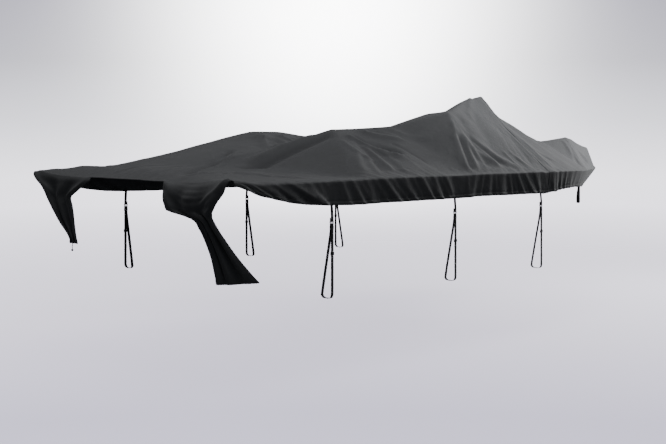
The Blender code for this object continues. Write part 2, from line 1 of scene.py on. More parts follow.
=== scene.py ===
# %% [markdown]
# # A fitted cover for a trailed boat
#
# A trailering cover is a sheet of coated woven polyester, cut to one boat and pulled taut over its
# seats, console and bow. Where the boat holds it up it makes peaks, between them it makes flat
# facets, and round the gunwale it turns down into a skirt that an elastic hem gathers. Here the
# boat is left out: the cloth is modelled as it lies over it, from a few tables of named sizes.

# %% Load the fixed frame
import json
import math

import bmesh
import bpy
import numpy as np
from mathutils import Matrix, Vector
from mathutils.bvhtree import BVHTree
from mathutils.geometry import delaunay_2d_cdt


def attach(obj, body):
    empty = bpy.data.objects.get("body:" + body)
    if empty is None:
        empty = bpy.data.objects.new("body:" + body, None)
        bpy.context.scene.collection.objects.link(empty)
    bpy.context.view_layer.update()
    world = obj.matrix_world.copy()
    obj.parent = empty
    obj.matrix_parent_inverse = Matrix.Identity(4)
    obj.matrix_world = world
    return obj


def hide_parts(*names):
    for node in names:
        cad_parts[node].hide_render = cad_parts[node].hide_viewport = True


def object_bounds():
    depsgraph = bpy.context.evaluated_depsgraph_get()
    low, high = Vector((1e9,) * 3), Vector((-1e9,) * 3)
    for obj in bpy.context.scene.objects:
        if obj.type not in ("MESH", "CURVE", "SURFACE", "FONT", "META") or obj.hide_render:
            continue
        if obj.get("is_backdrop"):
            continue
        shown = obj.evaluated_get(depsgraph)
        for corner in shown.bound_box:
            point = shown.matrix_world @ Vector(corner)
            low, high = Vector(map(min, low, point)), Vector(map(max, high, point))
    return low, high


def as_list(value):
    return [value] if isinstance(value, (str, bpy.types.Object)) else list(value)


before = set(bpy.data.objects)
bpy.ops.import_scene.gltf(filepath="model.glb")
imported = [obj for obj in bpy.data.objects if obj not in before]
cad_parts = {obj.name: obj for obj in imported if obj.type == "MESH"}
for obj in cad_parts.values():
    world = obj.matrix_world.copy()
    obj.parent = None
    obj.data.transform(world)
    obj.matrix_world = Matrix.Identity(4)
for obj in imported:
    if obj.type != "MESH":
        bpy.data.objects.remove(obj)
cad_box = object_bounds()
scene = bpy.context.scene
print("frame:", len(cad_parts), "nodes in", [round(b - a, 3) for a, b in zip(*cad_box)], "m")

# %% [markdown]
# ## Sizes of the boat under the cloth
#
# A cover maker takes a boat's sizes as stations: the distance from the transom, and there the
# half width at the gunwale, the height of the edge and the depth of the skirt. Tables with named
# rows keep those sizes in one place, and a smooth curve through each row gives every size between.

# %% Stations along the gunwale
LENGTH = 5.79  # transom to bow tip
ORIGIN_FROM_TRANSOM = 2.885
GUNWALE_BELOW_ORIGIN = 0.376
CLOTH = 0.0016

STATION = ("from_transom", "half_width", "edge", "skirt", "tuck", "rake")
STATIONS = (
    (0.000, 1.190, 0.000, 0.030, 0.000, 0.000),
    (0.250, 1.190, 0.000, 0.085, 0.004, 0.000),
    (0.500, 1.200, 0.000, 0.135, 0.010, 0.000),
    (0.850, 1.210, 0.003, 0.165, 0.014, 0.000),
    (1.500, 1.210, 0.006, 0.176, 0.018, 0.000),
    (2.400, 1.210, 0.000, 0.174, 0.020, 0.000),
    (2.900, 1.210, 0.000, 0.177, 0.024, 0.000),
    (3.300, 1.200, 0.000, 0.178, 0.030, 0.000),
    (3.650, 1.150, 0.000, 0.155, 0.045, 0.000),
    (4.000, 1.035, -0.008, 0.150, 0.060, 0.010),
    (4.500, 0.770, -0.025, 0.155, 0.070, 0.030),
    (5.000, 0.455, -0.045, 0.165, 0.075, 0.080),
    (5.400, 0.220, -0.060, 0.174, 0.060, 0.150),
    (5.650, 0.105, -0.066, 0.185, 0.035, 0.215),
    (5.790, 0.030, -0.060, 0.190, 0.005, 0.255),
)
GUNWALE = dict(zip(STATION, zip(*STATIONS)))


def curve_through(xs, ys):
    """A smooth function through the points."""
    xs, ys = np.array(xs), np.array(ys)
    steps = np.diff(ys) / np.diff(xs)
    slopes = np.concatenate([[steps[0]], 0.5 * (steps[1:] + steps[:-1]), [steps[-1]]])

    def value(at):
        at = np.clip(at, xs[0], xs[-1])
        k = np.clip(np.searchsorted(xs, at, side="right") - 1, 0, len(steps) - 1)
        width = xs[k + 1] - xs[k]
        f = (at - xs[k]) / width
        near = ys[k] * (2 * f**3 - 3 * f**2 + 1) + ys[k + 1] * (3 * f**2 - 2 * f**3)
        return near + width * (slopes[k] * (f**3 - 2 * f**2 + f) + slopes[k + 1] * (f**3 - f**2))

    return value


HALF_WIDTH, EDGE, SKIRT, TUCK, RAKE = (
    curve_through(GUNWALE["from_transom"], GUNWALE[column]) for column in STATION[1:]
)


def smooth_step(value):
    value = np.clip(value, 0, 1)
    return value * value * (3 - 2 * value)


def place(points):
    """From distances off the transom and heights above the gunwale to the frame's own metres."""
    return np.asarray(points, float) - (ORIGIN_FROM_TRANSOM, 0.0, GUNWALE_BELOW_ORIGIN)


def distances_along(path):
    """How far along a path each of its points lies."""
    return np.concatenate([[0], np.cumsum(np.linalg.norm(np.diff(path, axis=0), axis=1))])


print("beam at the origin:", round(2 * float(HALF_WIDTH(ORIGIN_FROM_TRANSOM)), 3), "m")

# %% [markdown]
# ## What holds the cloth up
#
# Taut cloth between hard points lies in nearly flat triangles. So the top is a net of triangles
# through the seats, the console, its screen and the decks, with ridges along the lines of tension,
# and then a little rounding, as the cloth is stiffer than a soap film. Delaunay triangulation with
# those ridges as fixed edges makes the net, and a lattice of heights makes it quick to read.

# %% Supports and lines of tension
SUPPORTS = {
    "deck_centre": (0.20, 0.15, 0.072),
    "deck_port": (0.28, 0.99, 0.073),
    "deck_port_hollow": (0.42, 0.87, 0.056),
    "port_side": (1.02, 0.76, 0.176),
    "deck_starboard": (0.34, -0.62, 0.060),
    "motor_well": (0.75, -0.30, 0.100),
    "port_seat_aft": (1.56, 0.50, 0.337),
    "port_seat": (1.74, 0.42, 0.335),
    "aisle": (1.80, 0.02, 0.272),
    "port_aisle": (2.20, 0.42, 0.284),
    "aisle_forward": (2.35, 0.05, 0.27),
    "starboard_seat_aft": (1.51, -0.50, 0.352),
    "starboard_seat": (1.74, -0.49, 0.358),
    "seat_step": (2.00, -0.67, 0.376),
    "console_inner": (2.50, -0.60, 0.478),
    "console": (2.45, -0.85, 0.488),
    "screen_foot": (2.66, -0.57, 0.462),
    "screen_side": (2.88, -0.66, 0.590),
    "screen": (3.18, -0.60, 0.636),
    "screen_shoulder": (3.22, -0.84, 0.350),
    "screen_inner": (3.12, -0.10, 0.435),
    "port_console": (2.80, 0.55, 0.300),
    "foredeck_a": (3.51, -0.50, 0.468),
    "foredeck_b": (3.98, -0.38, 0.347),
    "foredeck_c": (4.45, -0.18, 0.267),
    "valley": (4.86, 0.00, 0.238),
    "bow_hump": (5.30, 0.00, 0.280),
    "nose": (5.66, -0.02, 0.165),
    "nose_front": (5.755, 0.00, 0.070),
}
RIDGE_CHAINS = (
    ("deck_centre", "port_seat_aft"),
    ("deck_port_hollow", "port_side", "port_seat_aft", "port_seat"),
    ("starboard_seat_aft", "starboard_seat", "seat_step", "console_inner"),
    ("console_inner", "console", "screen_side", "screen", "screen_shoulder"),
    ("screen", "screen_inner"),
    ("screen", "foredeck_a", "foredeck_b", "foredeck_c", "valley", "bow_hump", "nose", "nose_front"),
)
RIDGES_TO_STARBOARD = (("console", 2.28), ("screen_shoulder", 3.31), ("bow_hump", 5.40))
RIDGES_TO_PORT = (("port_console", 2.60), ("port_seat", 1.60), ("bow_hump", 5.40))
# Over the transom's corners the edge rises: how much, from how far outboard, and how it fades.
CORNER = {"rise": 0.026, "inner": 0.75, "across": 0.40, "along": 0.25}

RIM_POINTS = 16
SAME_POINT = 1e-6
NO_AREA = 1e-9
LATTICE = 0.015
JUST_INSIDE = 1.001  # steps short of the lattice's end, where a reading stops
LATTICE_MARGIN = 0.2  # how far the lattice runs past the cloth
WIDEST = 1.4
ROUNDING_PASSES = 20
MOST_ROUNDING = 0.006


def facets():
    """Corners, with heights above the edge, and triangles of the taut cloth."""
    names = list(SUPPORTS)
    corners = [SUPPORTS[name] for name in names]
    heights = [z - float(EDGE(s)) for s, _, z in corners]
    plan = [(s, y) for s, y, _ in corners]
    chains = [[names.index(name) for name in chain] for chain in RIDGE_CHAINS]
    lines = [ends for chain in chains for ends in zip(chain, chain[1:])]
    ridge_ends = {s for _, s in RIDGES_TO_STARBOARD + RIDGES_TO_PORT}
    rim = sorted({*np.round(np.linspace(0, LENGTH, RIM_POINTS), 3), *ridge_ends})
    rims = {}
    for side in (-1, 1):
        rims[side] = list(range(len(plan), len(plan) + len(rim)))
        plan += [(s, side * float(HALF_WIDTH(s))) for s in rim]
        heights += [0.0] * len(rim)
    outline = rims[-1] + rims[1][::-1]
    lines += list(zip(outline, outline[1:] + outline[:1]))
    for side, ridges in ((-1, RIDGES_TO_STARBOARD), (1, RIDGES_TO_PORT)):
        lines += [(names.index(name), rims[side][rim.index(s)]) for name, s in ridges]
    flat_points = [Vector(p) for p in plan]
    found, _, triangles, origins, _, _ = delaunay_2d_cdt(flat_points, lines, [], 0, SAME_POINT)
    heights = [heights[min(origin)] if origin else 0.0 for origin in origins]
    return np.array([(*p, z) for p, z in zip(found, heights)]), np.array(triangles)


def rise_lattice():
    """Rise of the top above the gunwale, its ridges rounded and its supports kept."""
    s_line = np.arange(-LATTICE_MARGIN, LENGTH + LATTICE_MARGIN, LATTICE)
    y_line = np.arange(-WIDEST, WIDEST + LATTICE, LATTICE)
    s_grid, y_grid = np.meshgrid(s_line, y_line, indexing="ij")
    rise = np.zeros_like(s_grid)
    corners, triangles = facets()
    for a, b, c in corners[triangles]:
        area = (b[0] - a[0]) * (c[1] - a[1]) - (c[0] - a[0]) * (b[1] - a[1])
        if abs(area) < NO_AREA:
            continue
        u = ((b[0] - s_grid) * (c[1] - y_grid) - (c[0] - s_grid) * (b[1] - y_grid)) / area
        v = ((c[0] - s_grid) * (a[1] - y_grid) - (a[0] - s_grid) * (c[1] - y_grid)) / area
        w = 1 - u - v
        inside = np.minimum(np.minimum(u, v), w) >= -NO_AREA
        rise[inside] = (u * a[2] + v * b[2] + w * c[2])[inside]
    outside = (np.abs(y_grid) >= HALF_WIDTH(s_grid)) | (s_grid <= 0) | (s_grid >= LENGTH)
    rise[outside] = 0.0
    least = rise - MOST_ROUNDING
    for _ in range(ROUNDING_PASSES):
        around = rise[2:, 1:-1] + rise[:-2, 1:-1] + rise[1:-1, 2:] + rise[1:-1, :-2]
        rise[1:-1, 1:-1] = 0.5 * rise[1:-1, 1:-1] + 0.125 * around
        rise = np.maximum(rise, least)
        rise[outside] = 0.0
    return s_line, y_line, rise


def corner_rise(s, y):
    """Rise of the top towards the transom's two corners."""
    outboard = smooth_step((np.abs(y) - CORNER["inner"]) / CORNER["across"])
    return CORNER["rise"] * outboard * (1 - smooth_step(s / CORNER["along"]))


S_LINE, Y_LINE, RISE = rise_lattice()


def between(values, along, across):
    """A lattice of values read between its points, at places counted in its steps."""
    i, j = np.floor(along).astype(int), np.floor(across).astype(int)
    f, g = along - i, across - j
    near = values[i, j] * (1 - g) + values[i, j + 1] * g
    far = values[i + 1, j] * (1 - g) + values[i + 1, j + 1] * g
    return near * (1 - f) + far * f


def rise_at(s, y):
    """Rise of the taut top above the edge."""
    along = np.clip((s - S_LINE[0]) / LATTICE, 0, len(S_LINE) - JUST_INSIDE)
    across = np.clip((y - Y_LINE[0]) / LATTICE, 0, len(Y_LINE) - JUST_INSIDE)
    return between(RISE, along, across)


print("lattice:", RISE.shape, "highest", round(float(RISE.max()), 3), "m above the edge")

# %% [markdown]
# ## Creases
#
# Between its supports a cover is never quite flat. Long troughs and ridges run from one support to
# the next, and fans of small tension folds run from each support to the gunwale, where the skirt
# pulls. Each is a soft ridge along a bowed line, so one function makes them all. Simulated cloth
# was the other way, but a table puts each crease where the real one lies.

# %% Creases of the top
# Both ends as (from transom, to port), how far the middle is bowed to port, the rise of the cloth
# (negative for a trough) and half its width.
CREASES = {
    "well_trough": ((0.12, -0.52), (1.04, 0.07), -0.01, -0.022, 0.032),
    "well_lip": ((0.20, -0.53), (1.06, 0.02), -0.02, 0.010, 0.026),
    "seat_trough": ((1.50, -0.57), (0.58, -0.50), 0.04, -0.034, 0.045),
    "seat_trough_inner": ((1.42, -0.46), (0.74, -0.38), 0.03, 0.014, 0.045),
    "port_seat_ridge": ((1.58, 0.36), (1.08, -0.42), 0.02, 0.020, 0.036),
    "port_seat_trough": ((1.50, 0.22), (1.16, -0.32), 0.01, -0.016, 0.034),
    "port_seat_nick": ((1.66, 0.24), (1.60, 0.04), 0.01, 0.010, 0.018),
    "aisle_trough": ((2.30, 0.10), (1.30, -0.20), -0.03, -0.018, 0.060),
    "seat_fold": ((1.56, -0.58), (1.78, -1.01), -0.055, 0.026, 0.026),
    "seat_fold_trough": ((1.62, -0.60), (1.82, -0.99), -0.055, -0.022, 0.026),
    "seat_fold_low": ((1.55, -0.74), (1.51, -1.15), -0.02, 0.014, 0.022),
    "seat_fold_middle": ((1.46, -0.66), (1.48, -1.00), -0.05, 0.010, 0.022),
    "seat_fold_far": ((1.76, -0.55), (1.96, -0.86), -0.04, 0.014, 0.022),
    "seat_fold_farther": ((1.85, -0.57), (1.99, -0.80), -0.01, -0.010, 0.020),
    "seat_side": ((1.84, -0.60), (2.22, -0.90), -0.03, 0.010, 0.026),
    "console_fold": ((2.45, -0.88), (2.28, -1.20), 0.01, 0.018, 0.024),
    "console_hollow": ((2.60, -0.82), (2.52, -1.18), 0.0, -0.020, 0.070),
    "console_trough": ((2.42, -0.98), (2.33, -1.20), 0.0, -0.022, 0.022),
    "console_second": ((2.47, -1.00), (2.39, -1.20), 0.0, 0.014, 0.018),
    "console_fan_a": ((2.49, -1.03), (2.78, -1.18), -0.02, 0.012, 0.016),
    "console_fan_b": ((2.62, -1.03), (3.00, -1.19), -0.02, 0.013, 0.016),
    "console_fan_c": ((2.55, -1.00), (2.90, -1.18), -0.02, -0.010, 0.016),
    "console_fan_d": ((2.88, -1.04), (2.98, -1.20), -0.01, 0.010, 0.014),
    "console_fan_e": ((2.96, -1.04), (3.12, -1.19), -0.01, 0.009, 0.014),
    "screen_fold": ((3.02, -0.61), (2.74, -0.83), 0.0, 0.012, 0.022),
    "screen_front_trough": ((3.18, -0.62), (3.58, -0.56), 0.0, -0.016, 0.014),
    "screen_front_fold": ((3.20, -0.66), (3.42, -0.84), 0.0, -0.016, 0.020),
    "screen_front_ridge": ((3.22, -0.56), (3.70, -0.74), 0.02, 0.010, 0.022),
    "foredeck_line": ((3.30, -0.90), (3.42, -1.17), 0.0, 0.008, 0.016),
    "bow_ridge": ((5.29, -0.01), (5.43, -0.22), 0.0, 0.014, 0.016),
    "bow_fold": ((5.25, -0.04), (5.33, -0.26), 0.0, 0.010, 0.016),
    "bow_trough": ((5.38, -0.08), (5.49, -0.18), 0.0, -0.014, 0.016),
    "bow_trough_port": ((5.38, 0.08), (5.50, 0.16), 0.0, -0.012, 0.016),
    "bow_side": ((5.20, -0.03), (5.02, -0.36), 0.0, 0.008, 0.024),
    "aft_swell": ((1.46, -0.24), (0.62, -0.18), 0.0, 0.026, 0.120),
}
# Fans of small folds: where they start, the two ends of the line they run to, how many there are,
# their rise and half their width.
FANS = {
    "console": ((2.44, -0.88), (2.02, -1.20), (3.00, -1.20), 11, 0.006, 0.018),
    "screen_to_starboard": ((3.14, -0.70), (2.92, -1.20), (3.80, -1.10), 9, 0.005, 0.020),
    "starboard_seat": ((1.66, -0.56), (0.95, -1.20), (2.05, -1.20), 11, 0.007, 0.022),
    "stern_starboard": ((0.42, -0.62), (0.02, -0.50), (0.85, -1.20), 11, 0.008, 0.022),
    "stern_port": ((0.42, 0.86), (0.02, 0.48), (0.85, 1.20), 9, 0.007, 0.022),
    "stern_middle": ((0.60, -0.10), (0.02, -0.44), (0.02, 0.40), 7, 0.005, 0.030),
    "port_seat": ((1.66, 0.52), (0.95, 1.20), (2.25, 1.20), 11, 0.007, 0.022),
    "port_console": ((2.80, 0.58), (2.30, 1.20), (3.50, 1.18), 11, 0.006, 0.022),
    "screen_aft": ((3.08, -0.48), (2.35, -0.20), (2.80, 0.45), 7, 0.006, 0.030),
    "screen_forward": ((3.20, -0.50), (3.90, -0.80), (3.90, 0.10), 8, 0.006, 0.026),
    "port_seat_inboard": ((1.62, 0.38), (1.95, -0.30), (1.25, -0.35), 6, 0.006, 0.026),
    "starboard_seat_inboard": ((1.66, -0.46), (1.20, -0.10), (2.10, -0.15), 6, 0.006, 0.024),
    "bow_starboard": ((5.28, -0.03), (4.60, -0.66), (5.56, -0.13), 8, 0.005, 0.016),
    "bow_port": ((5.28, 0.03), (4.60, 0.66), (5.56, 0.13), 8, 0.005, 0.016),
    "foredeck_port": ((3.70, 0.10), (3.30, 1.15), (4.60, 0.66), 8, 0.005, 0.030),
}
# How uneven a fan is: the least and most of each draw, and how many of its folds are ridges.
FAN = {
    "place": (-0.35, 0.35),
    "near": (0.12, 0.45),
    "far": (0.82, 1.0),
    "bow": (-0.02, 0.02),
    "rise": (0.4, 1.3),
    "width": (0.7, 1.4),
}
RIDGES_IN_FAN = 0.65
EDGE_BAND = 0.06
CREASE_FADE = 0.15  # the share of a crease over which it fades in or out
CREST = 0.22  # how round a fold is on its line, as a share of half its width
HOLLOW = 1.7


def bump(distance, half_width):
    """A fold's profile: high on its line, where it is nearly sharp, with hollow sides."""
    off_line = np.hypot(distance / half_width, CREST) - CREST
    return np.clip(1 - 0.5 * off_line, 0, 1) ** HOLLOW


def crease(s, y, ends, bow, rise, half_width):
    """Rise of the cloth from one crease."""
    (s0, y0), (s1, y1) = ends
    along = np.array((s1 - s0, y1 - y0))
    length = math.hypot(*along)
    along /= length
    reach = ((s - s0) * along[0] + (y - y0) * along[1]) / length
    off = (y - y0) * along[0] - (s - s0) * along[1]
    off = off - np.sign(along[0]) * bow * 4 * reach * (1 - reach)
    fade = smooth_step(reach / CREASE_FADE) * smooth_step((1 - reach) / CREASE_FADE)
    return rise * fade * bump(off, half_width)


def fan_lines(name):
    """The small folds of one fan, uneven in place, length, rise and width."""
    start, first, last, count, rise, half_width = FANS[name]
    draw = np.random.default_rng(sum(map(ord, name)))
    start, first, last = (np.array(point) for point in (start, first, last))
    for k in range(count):
        end = first + (last - first) * (k + 0.5 + draw.uniform(*FAN["place"])) / count
        near, far = draw.uniform(*FAN["near"]), draw.uniform(*FAN["far"])
        ends = start + (end - start) * near, start + (end - start) * far
        sign = 1 if draw.uniform() < RIDGES_IN_FAN else -1
        bow, higher, wider = (draw.uniform(*FAN[key]) for key in ("bow", "rise", "width"))
        yield ends, bow, sign * rise * higher, half_width * wider


def crease_rise(s, y):
    """Rise of the top from its creases: the table's, then the fans'."""
    main = sum(crease(s, y, (a, b), bow, rise, width) for a, b, bow, rise, width in CREASES.values())
    small = sum(crease(s, y, *line) for name in FANS for line in fan_lines(name))
    return main, small


print("creases:", len(CREASES), "placed,", sum(fan[3] for fan in FANS.values()), "in fans")

# %% [markdown]
# ## Uneven cloth
#
# Cloth that has been packed away keeps faint, broad dents. Smoothed random numbers on a coarse
# lattice, read between their points, give such dents with no pattern to see, and a fixed seed gives
# the same ones on each run.

# %% Broad dents
DENTED = {"length": 9, "u_from": 2, "v_from": 4}  # the cloth that the dents' lattice covers, in metres


def dents(u, v, cell, seed):
    """Smooth random heights from about -1 to 1, a cell across."""
    cells = int(DENTED["length"] / cell) + 3
    values = np.random.default_rng(seed).normal(0, 0.5, (cells, cells))
    steps = (u + DENTED["u_from"]) / cell, (v + DENTED["v_from"]) / cell
    eased = [np.floor(step) + smooth_step(step - np.floor(step)) for step in steps]
    return between(values, *eased)


# %% [markdown]
# ## The skirt and its folds
#
# Round the gunwale the sheet turns down over a soft roll into the skirt. The boat draws in below,
# so the skirt has cloth to spare: it stands off in slanting folds that start at the gunwale and are
# deepest at the hem, with small gathers between them from the elastic. The hem is the cloth
# itself turned under and stitched, so it is a little thicker and dips at its row of stitches.

# %% Folds of the skirt
# Where each leaves the gunwale, how far it leans forward by the hem, how far it stands out there
# and half its width.
SKIRT_FOLDS = (
    (0.01, 0.12, 0.014, 0.026),
    (0.10, 0.21, 0.018, 0.028),
    (0.21, 0.20, 0.018, 0.028),
    (0.31, 0.24, 0.022, 0.034),
    (0.45, 0.30, 0.034, 0.042),
    (0.60, 0.17, 0.018, 0.028),
    (0.90, 0.10, 0.016, 0.034),
    (1.00, 0.13, 0.018, 0.034),
    (1.14, 0.10, 0.014, 0.034),
    (1.31, 0.18, 0.028, 0.038),
    (1.52, 0.15, 0.018, 0.034),
    (1.70, 0.15, 0.028, 0.036),
    (1.84, 0.11, 0.022, 0.030),
    (1.97, 0.13, 0.024, 0.034),
    (2.33, -0.04, 0.018, 0.040),
    (2.50, 0.00, 0.016, 0.034),
    (2.66, 0.03, 0.018, 0.034),
    (2.84, 0.12, 0.022, 0.030),
    (2.94, 0.15, 0.024, 0.030),
    (3.08, 0.10, 0.020, 0.028),
    (3.36, 0.04, 0.018, 0.045),
    (3.72, 0.02, 0.014, 0.050),
    (4.05, 0.00, 0.012, 0.050),
    (4.50, 0.00, 0.012, 0.060),
    (5.00, 0.00, 0.010, 0.060),
)
# Finer ones between them, to the same headings.
SMALL_FOLDS = (
    (0.05, 0.20, 0.010, 0.016),
    (0.16, 0.22, 0.010, 0.016),
    (0.26, 0.18, 0.012, 0.018),
    (0.38, 0.20, 0.012, 0.018),
    (0.53, 0.26, 0.014, 0.020),
    (0.69, 0.12, 0.009, 0.020),
    (0.76, 0.10, 0.008, 0.018),
    (1.07, 0.14, 0.010, 0.018),
    (1.22, 0.16, 0.011, 0.020),
    (1.39, 0.20, 0.015, 0.020),
    (1.46, 0.20, 0.011, 0.018),
    (1.61, 0.14, 0.012, 0.020),
    (1.77, 0.16, 0.014, 0.018),
    (1.91, 0.13, 0.013, 0.018),
    (2.24, 0.02, 0.009, 0.018),
    (2.42, -0.02, 0.012, 0.016),
    (2.57, 0.03, 0.011, 0.016),
    (2.61, 0.05, 0.009, 0.014),
    (2.74, 0.06, 0.012, 0.015),
    (2.79, 0.08, 0.009, 0.014),
    (2.90, 0.12, 0.012, 0.015),
    (3.02, 0.10, 0.012, 0.015),
    (3.13, 0.06, 0.010, 0.014),
    (3.42, 0.03, 0.011, 0.016),
    (3.50, 0.03, 0.010, 0.016),
    (3.60, 0.02, 0.010, 0.018),
    (3.86, 0.01, 0.008, 0.020),
    (4.25, 0.00, 0.007, 0.024),
)
STRAPS = {"aft": 0.83, "mid": 2.11, "fore": 3.21}
STRAP_FLAT = 0.04
PORT_FOLD_SHIFT = 0.06
SMALL_FOLD_SHIFT = 0.02
AT_GUNWALE = 0.22  # a fold's share of its depth where it crosses the gunwale
FOLD_FADE, FADE_POWER = 0.11, 1.5  # how far inboard it runs on, and how fast it fades there
GATHER_SEED = 7
GATHER_PITCH = 0.047
GATHER_RISE = 0.0035
GATHER_WIDTH = 0.013
GATHERS_FROM, GATHERS_SHORT_OF = 0.03, 0.10  # of the transom and of the bow tip
# The least and most of each gather's draws, as shares, and how far it leans.
GATHER = {"out": (0.2, 1.3), "lean": (-0.02, 0.05), "top": (0.0, 0.5), "pitch": (0.6, 1.5)}


def off_straps(s):
    """The share of a fold's rise that is left, as the straps pull the skirt flat beside them."""
    return np.prod([1 - bump(s - strap, STRAP_FLAT) for strap in STRAPS.values()], axis=0)


def fold_field(s, share, side):
    """How far the skirt stands out at a share of its depth, which is below 0 inboard of the edge."""
    shift = PORT_FOLD_SHIFT if side > 0 else 0.0
    folds = [(at + shift, *sizes) for at, *sizes in SKIRT_FOLDS]
    small_shift = SMALL_FOLD_SHIFT - 3 * shift if side > 0 else 0.0
    folds += [(at + small_shift, *sizes) for at, *sizes in SMALL_FOLDS]
    total = np.zeros_like(s)
    for at, lean, out, half_width in folds:
        total += out * bump(s - at - lean * share, half_width)
    return total * off_straps(s) * (AT_GUNWALE + (1 - AT_GUNWALE) * np.clip(share, 0, 1))


def by_side(side, shape, s, share):
    """A shape of the skirt, read for port where side is over 0 and for starboard elsewhere."""
    return np.where(side > 0, shape(s, share, 1), shape(s, share, -1))


def gathers(s, share, side):
    """Small gathers that the elastic pulls into the cloth, deepest just above the hem."""
    draw = np.random.default_rng(GATHER_SEED + side)
    total = np.zeros_like(s)
    at = GATHERS_FROM
    while at < LENGTH - GATHERS_SHORT_OF:
        out, lean, top = (draw.uniform(*GATHER[key]) for key in ("out", "lean", "top"))
        total += out * smooth_step((share - top) / (1 - top)) * bump(s - at - lean * share, GATHER_WIDTH)
        at += GATHER_PITCH * draw.uniform(*GATHER["pitch"])
    return GATHER_RISE * total * off_straps(s)


print("folds of the skirt:", len(SKIRT_FOLDS), "large,", len(SMALL_FOLDS), "small a side")

# %% [markdown]
# ## Tails at the transom
#
# At each corner of the transom a tail of the sheet folds down the outside, and between them the
# cover is cut away for the motor. Each tail is a table of how far down it has come, where its two
# edges are there, how far it stands off the boat and how far it wraps round the corner.

# %% Tails
STARBOARD_TAIL = {
    "drop": (0.0, 0.020, 0.060, 0.105, 0.150, 0.185, 0.200, 0.215, 0.280, 0.360, 0.450, 0.540, 0.625),
    "inner": (0.480, 0.500, 0.525, 0.545, 0.575, 0.615, 0.730, 0.830, 0.915, 0.965, 1.005, 1.030, 1.045),
    "outer": (1.190, 1.180, 1.155, 1.120, 1.090, 1.065, 1.065, 1.070, 1.100, 1.135, 1.160, 1.170, 1.170),
    "aft": (0.0, 0.024, 0.048, 0.064, 0.070, 0.066, 0.062, 0.058, 0.046, 0.036, 0.026, 0.014, 0.004),
    "wrap": (0.0, 0.000, 0.000, 0.000, 0.000, 0.000, 0.000, 0.000, 0.010, 0.040, 0.090, 0.160, 0.240),
}
PORT_TAIL = {
    "drop": (0.0, 0.020, 0.060, 0.100, 0.145, 0.200, 0.260, 0.330, 0.395, 0.430, 0.455, 0.480),
    "inner": (0.420, 0.410, 0.480, 0.550, 0.630, 0.610, 0.590, 0.575, 0.557, 0.545, 0.537, 0.528),
    "outer": (1.190, 1.180, 1.090, 1.030, 0.980, 0.930, 0.866, 0.782, 0.682, 0.638, 0.622, 0.622),
    "aft": (0.0, 0.014, 0.020, 0.024, 0.026, 0.028, 0.030, 0.032, 0.034, 0.035, 0.035, 0.034),
    "wrap": (0.000,) * 12,
}
TAIL_FOLDS = 2.5
TAIL_FOLD_DEPTH = 0.012
FOLDS_BELOW = 0.10  # how far down its folds are at their full depth
TAIL_ROWS = 44
CLOSER_AT_TOP = 1.25  # the power that puts more of the rows near the top
TAIL_CREASE_ENDS = (0.15, 0.10)  # how far a small fold runs past its two ends, as a share of it
TAIL_FADE = 0.3
PORT_TAIL_FOLDS = 0.5  # the port tail hangs straighter, so its small folds are this share as deep
# Small folds of the tails: share across at the top and at the bottom, how far they stand out, width
# as a share, and the drops they run between.
TAIL_CREASES = {
    "corner_a": (1.00, 0.70, 0.014, 0.045, 0.00, 0.15),
    "corner_b": (1.00, 0.84, 0.012, 0.040, 0.00, 0.14),
    "corner_c": (0.96, 0.92, 0.010, 0.035, 0.02, 0.20),
    "inner": (0.06, 0.16, 0.012, 0.045, 0.00, 0.20),
    "fall_a": (0.30, 0.22, 0.014, 0.09, 0.16, 0.60),
    "fall_b": (0.60, 0.52, 0.016, 0.09, 0.16, 0.62),
    "fall_c": (0.84, 0.86, 0.012, 0.07, 0.20, 0.62),
}
# Swags that hang between the starboard tail's two top corners: drop in the middle, how far each
# stands out and half its width.
SWAGS = ((0.030, 0.010, 0.012), (0.062, 0.016, 0.014), (0.098, 0.018, 0.016), (0.138, 0.012, 0.018))


def tail_points(edge, sizes, side):
    """Rows of a tail below the transom's edge, whose points run from the cut-out outboard."""
    share = (edge[:, 1] - edge[0, 1]) / (edge[-1, 1] - edge[0, 1])
    keys, (before, beyond) = ("inner", "outer", "aft", "wrap"), TAIL_CREASE_ENDS
    inner, outer, aft, wrap = (curve_through(sizes["drop"], sizes[key]) for key in keys)
    bottom = sizes["drop"][-1]
    drops = bottom * np.linspace(0, 1, TAIL_ROWS + 1)[1:] ** CLOSER_AT_TOP
    rows, folds = [], []
    for drop in drops:
        y = side * (inner(drop) + (outer(drop) - inner(drop)) * share)
        fold = TAIL_FOLD_DEPTH * smooth_step(drop / FOLDS_BELOW) * np.sin(2 * math.pi * TAIL_FOLDS * share)
        x = -aft(drop) + wrap(drop) * share**2 - fold
        z = edge[:, 2] * (1 - smooth_step(drop / EDGE_BAND)) - drop
        small = np.zeros_like(share)
        for top, low, out, width, start, end in TAIL_CREASES.values():
            reach = (drop - start) / (min(end, bottom) - start)
            fade = smooth_step((reach + before) / TAIL_FADE) * smooth_step((1 + beyond - reach) / TAIL_FADE)
            small += out * fade * bump(share - top - (low - top) * reach, width)
        for sag, out, width in SWAGS if side < 0 else ():
            hang = 4 * share * (1 - share)
            small += out * np.sqrt(hang) * bump(drop - sag * hang, width)
        rows.append(np.stack([x, y, z], axis=1))
        folds.append(small if side < 0 else PORT_TAIL_FOLDS * small)
    return np.array(rows), np.array(folds), share, drops


# %% [markdown]
# ## One sheet of points
#
# The top, the skirt and the tails are one grid of points, so that every fold runs on over the edge.
# Rows run across the boat. They are close together at the cut-out, where the hem turns under. The
# cloth is cut in two only at the cross seam, where the maker joined two lengths off the roll.

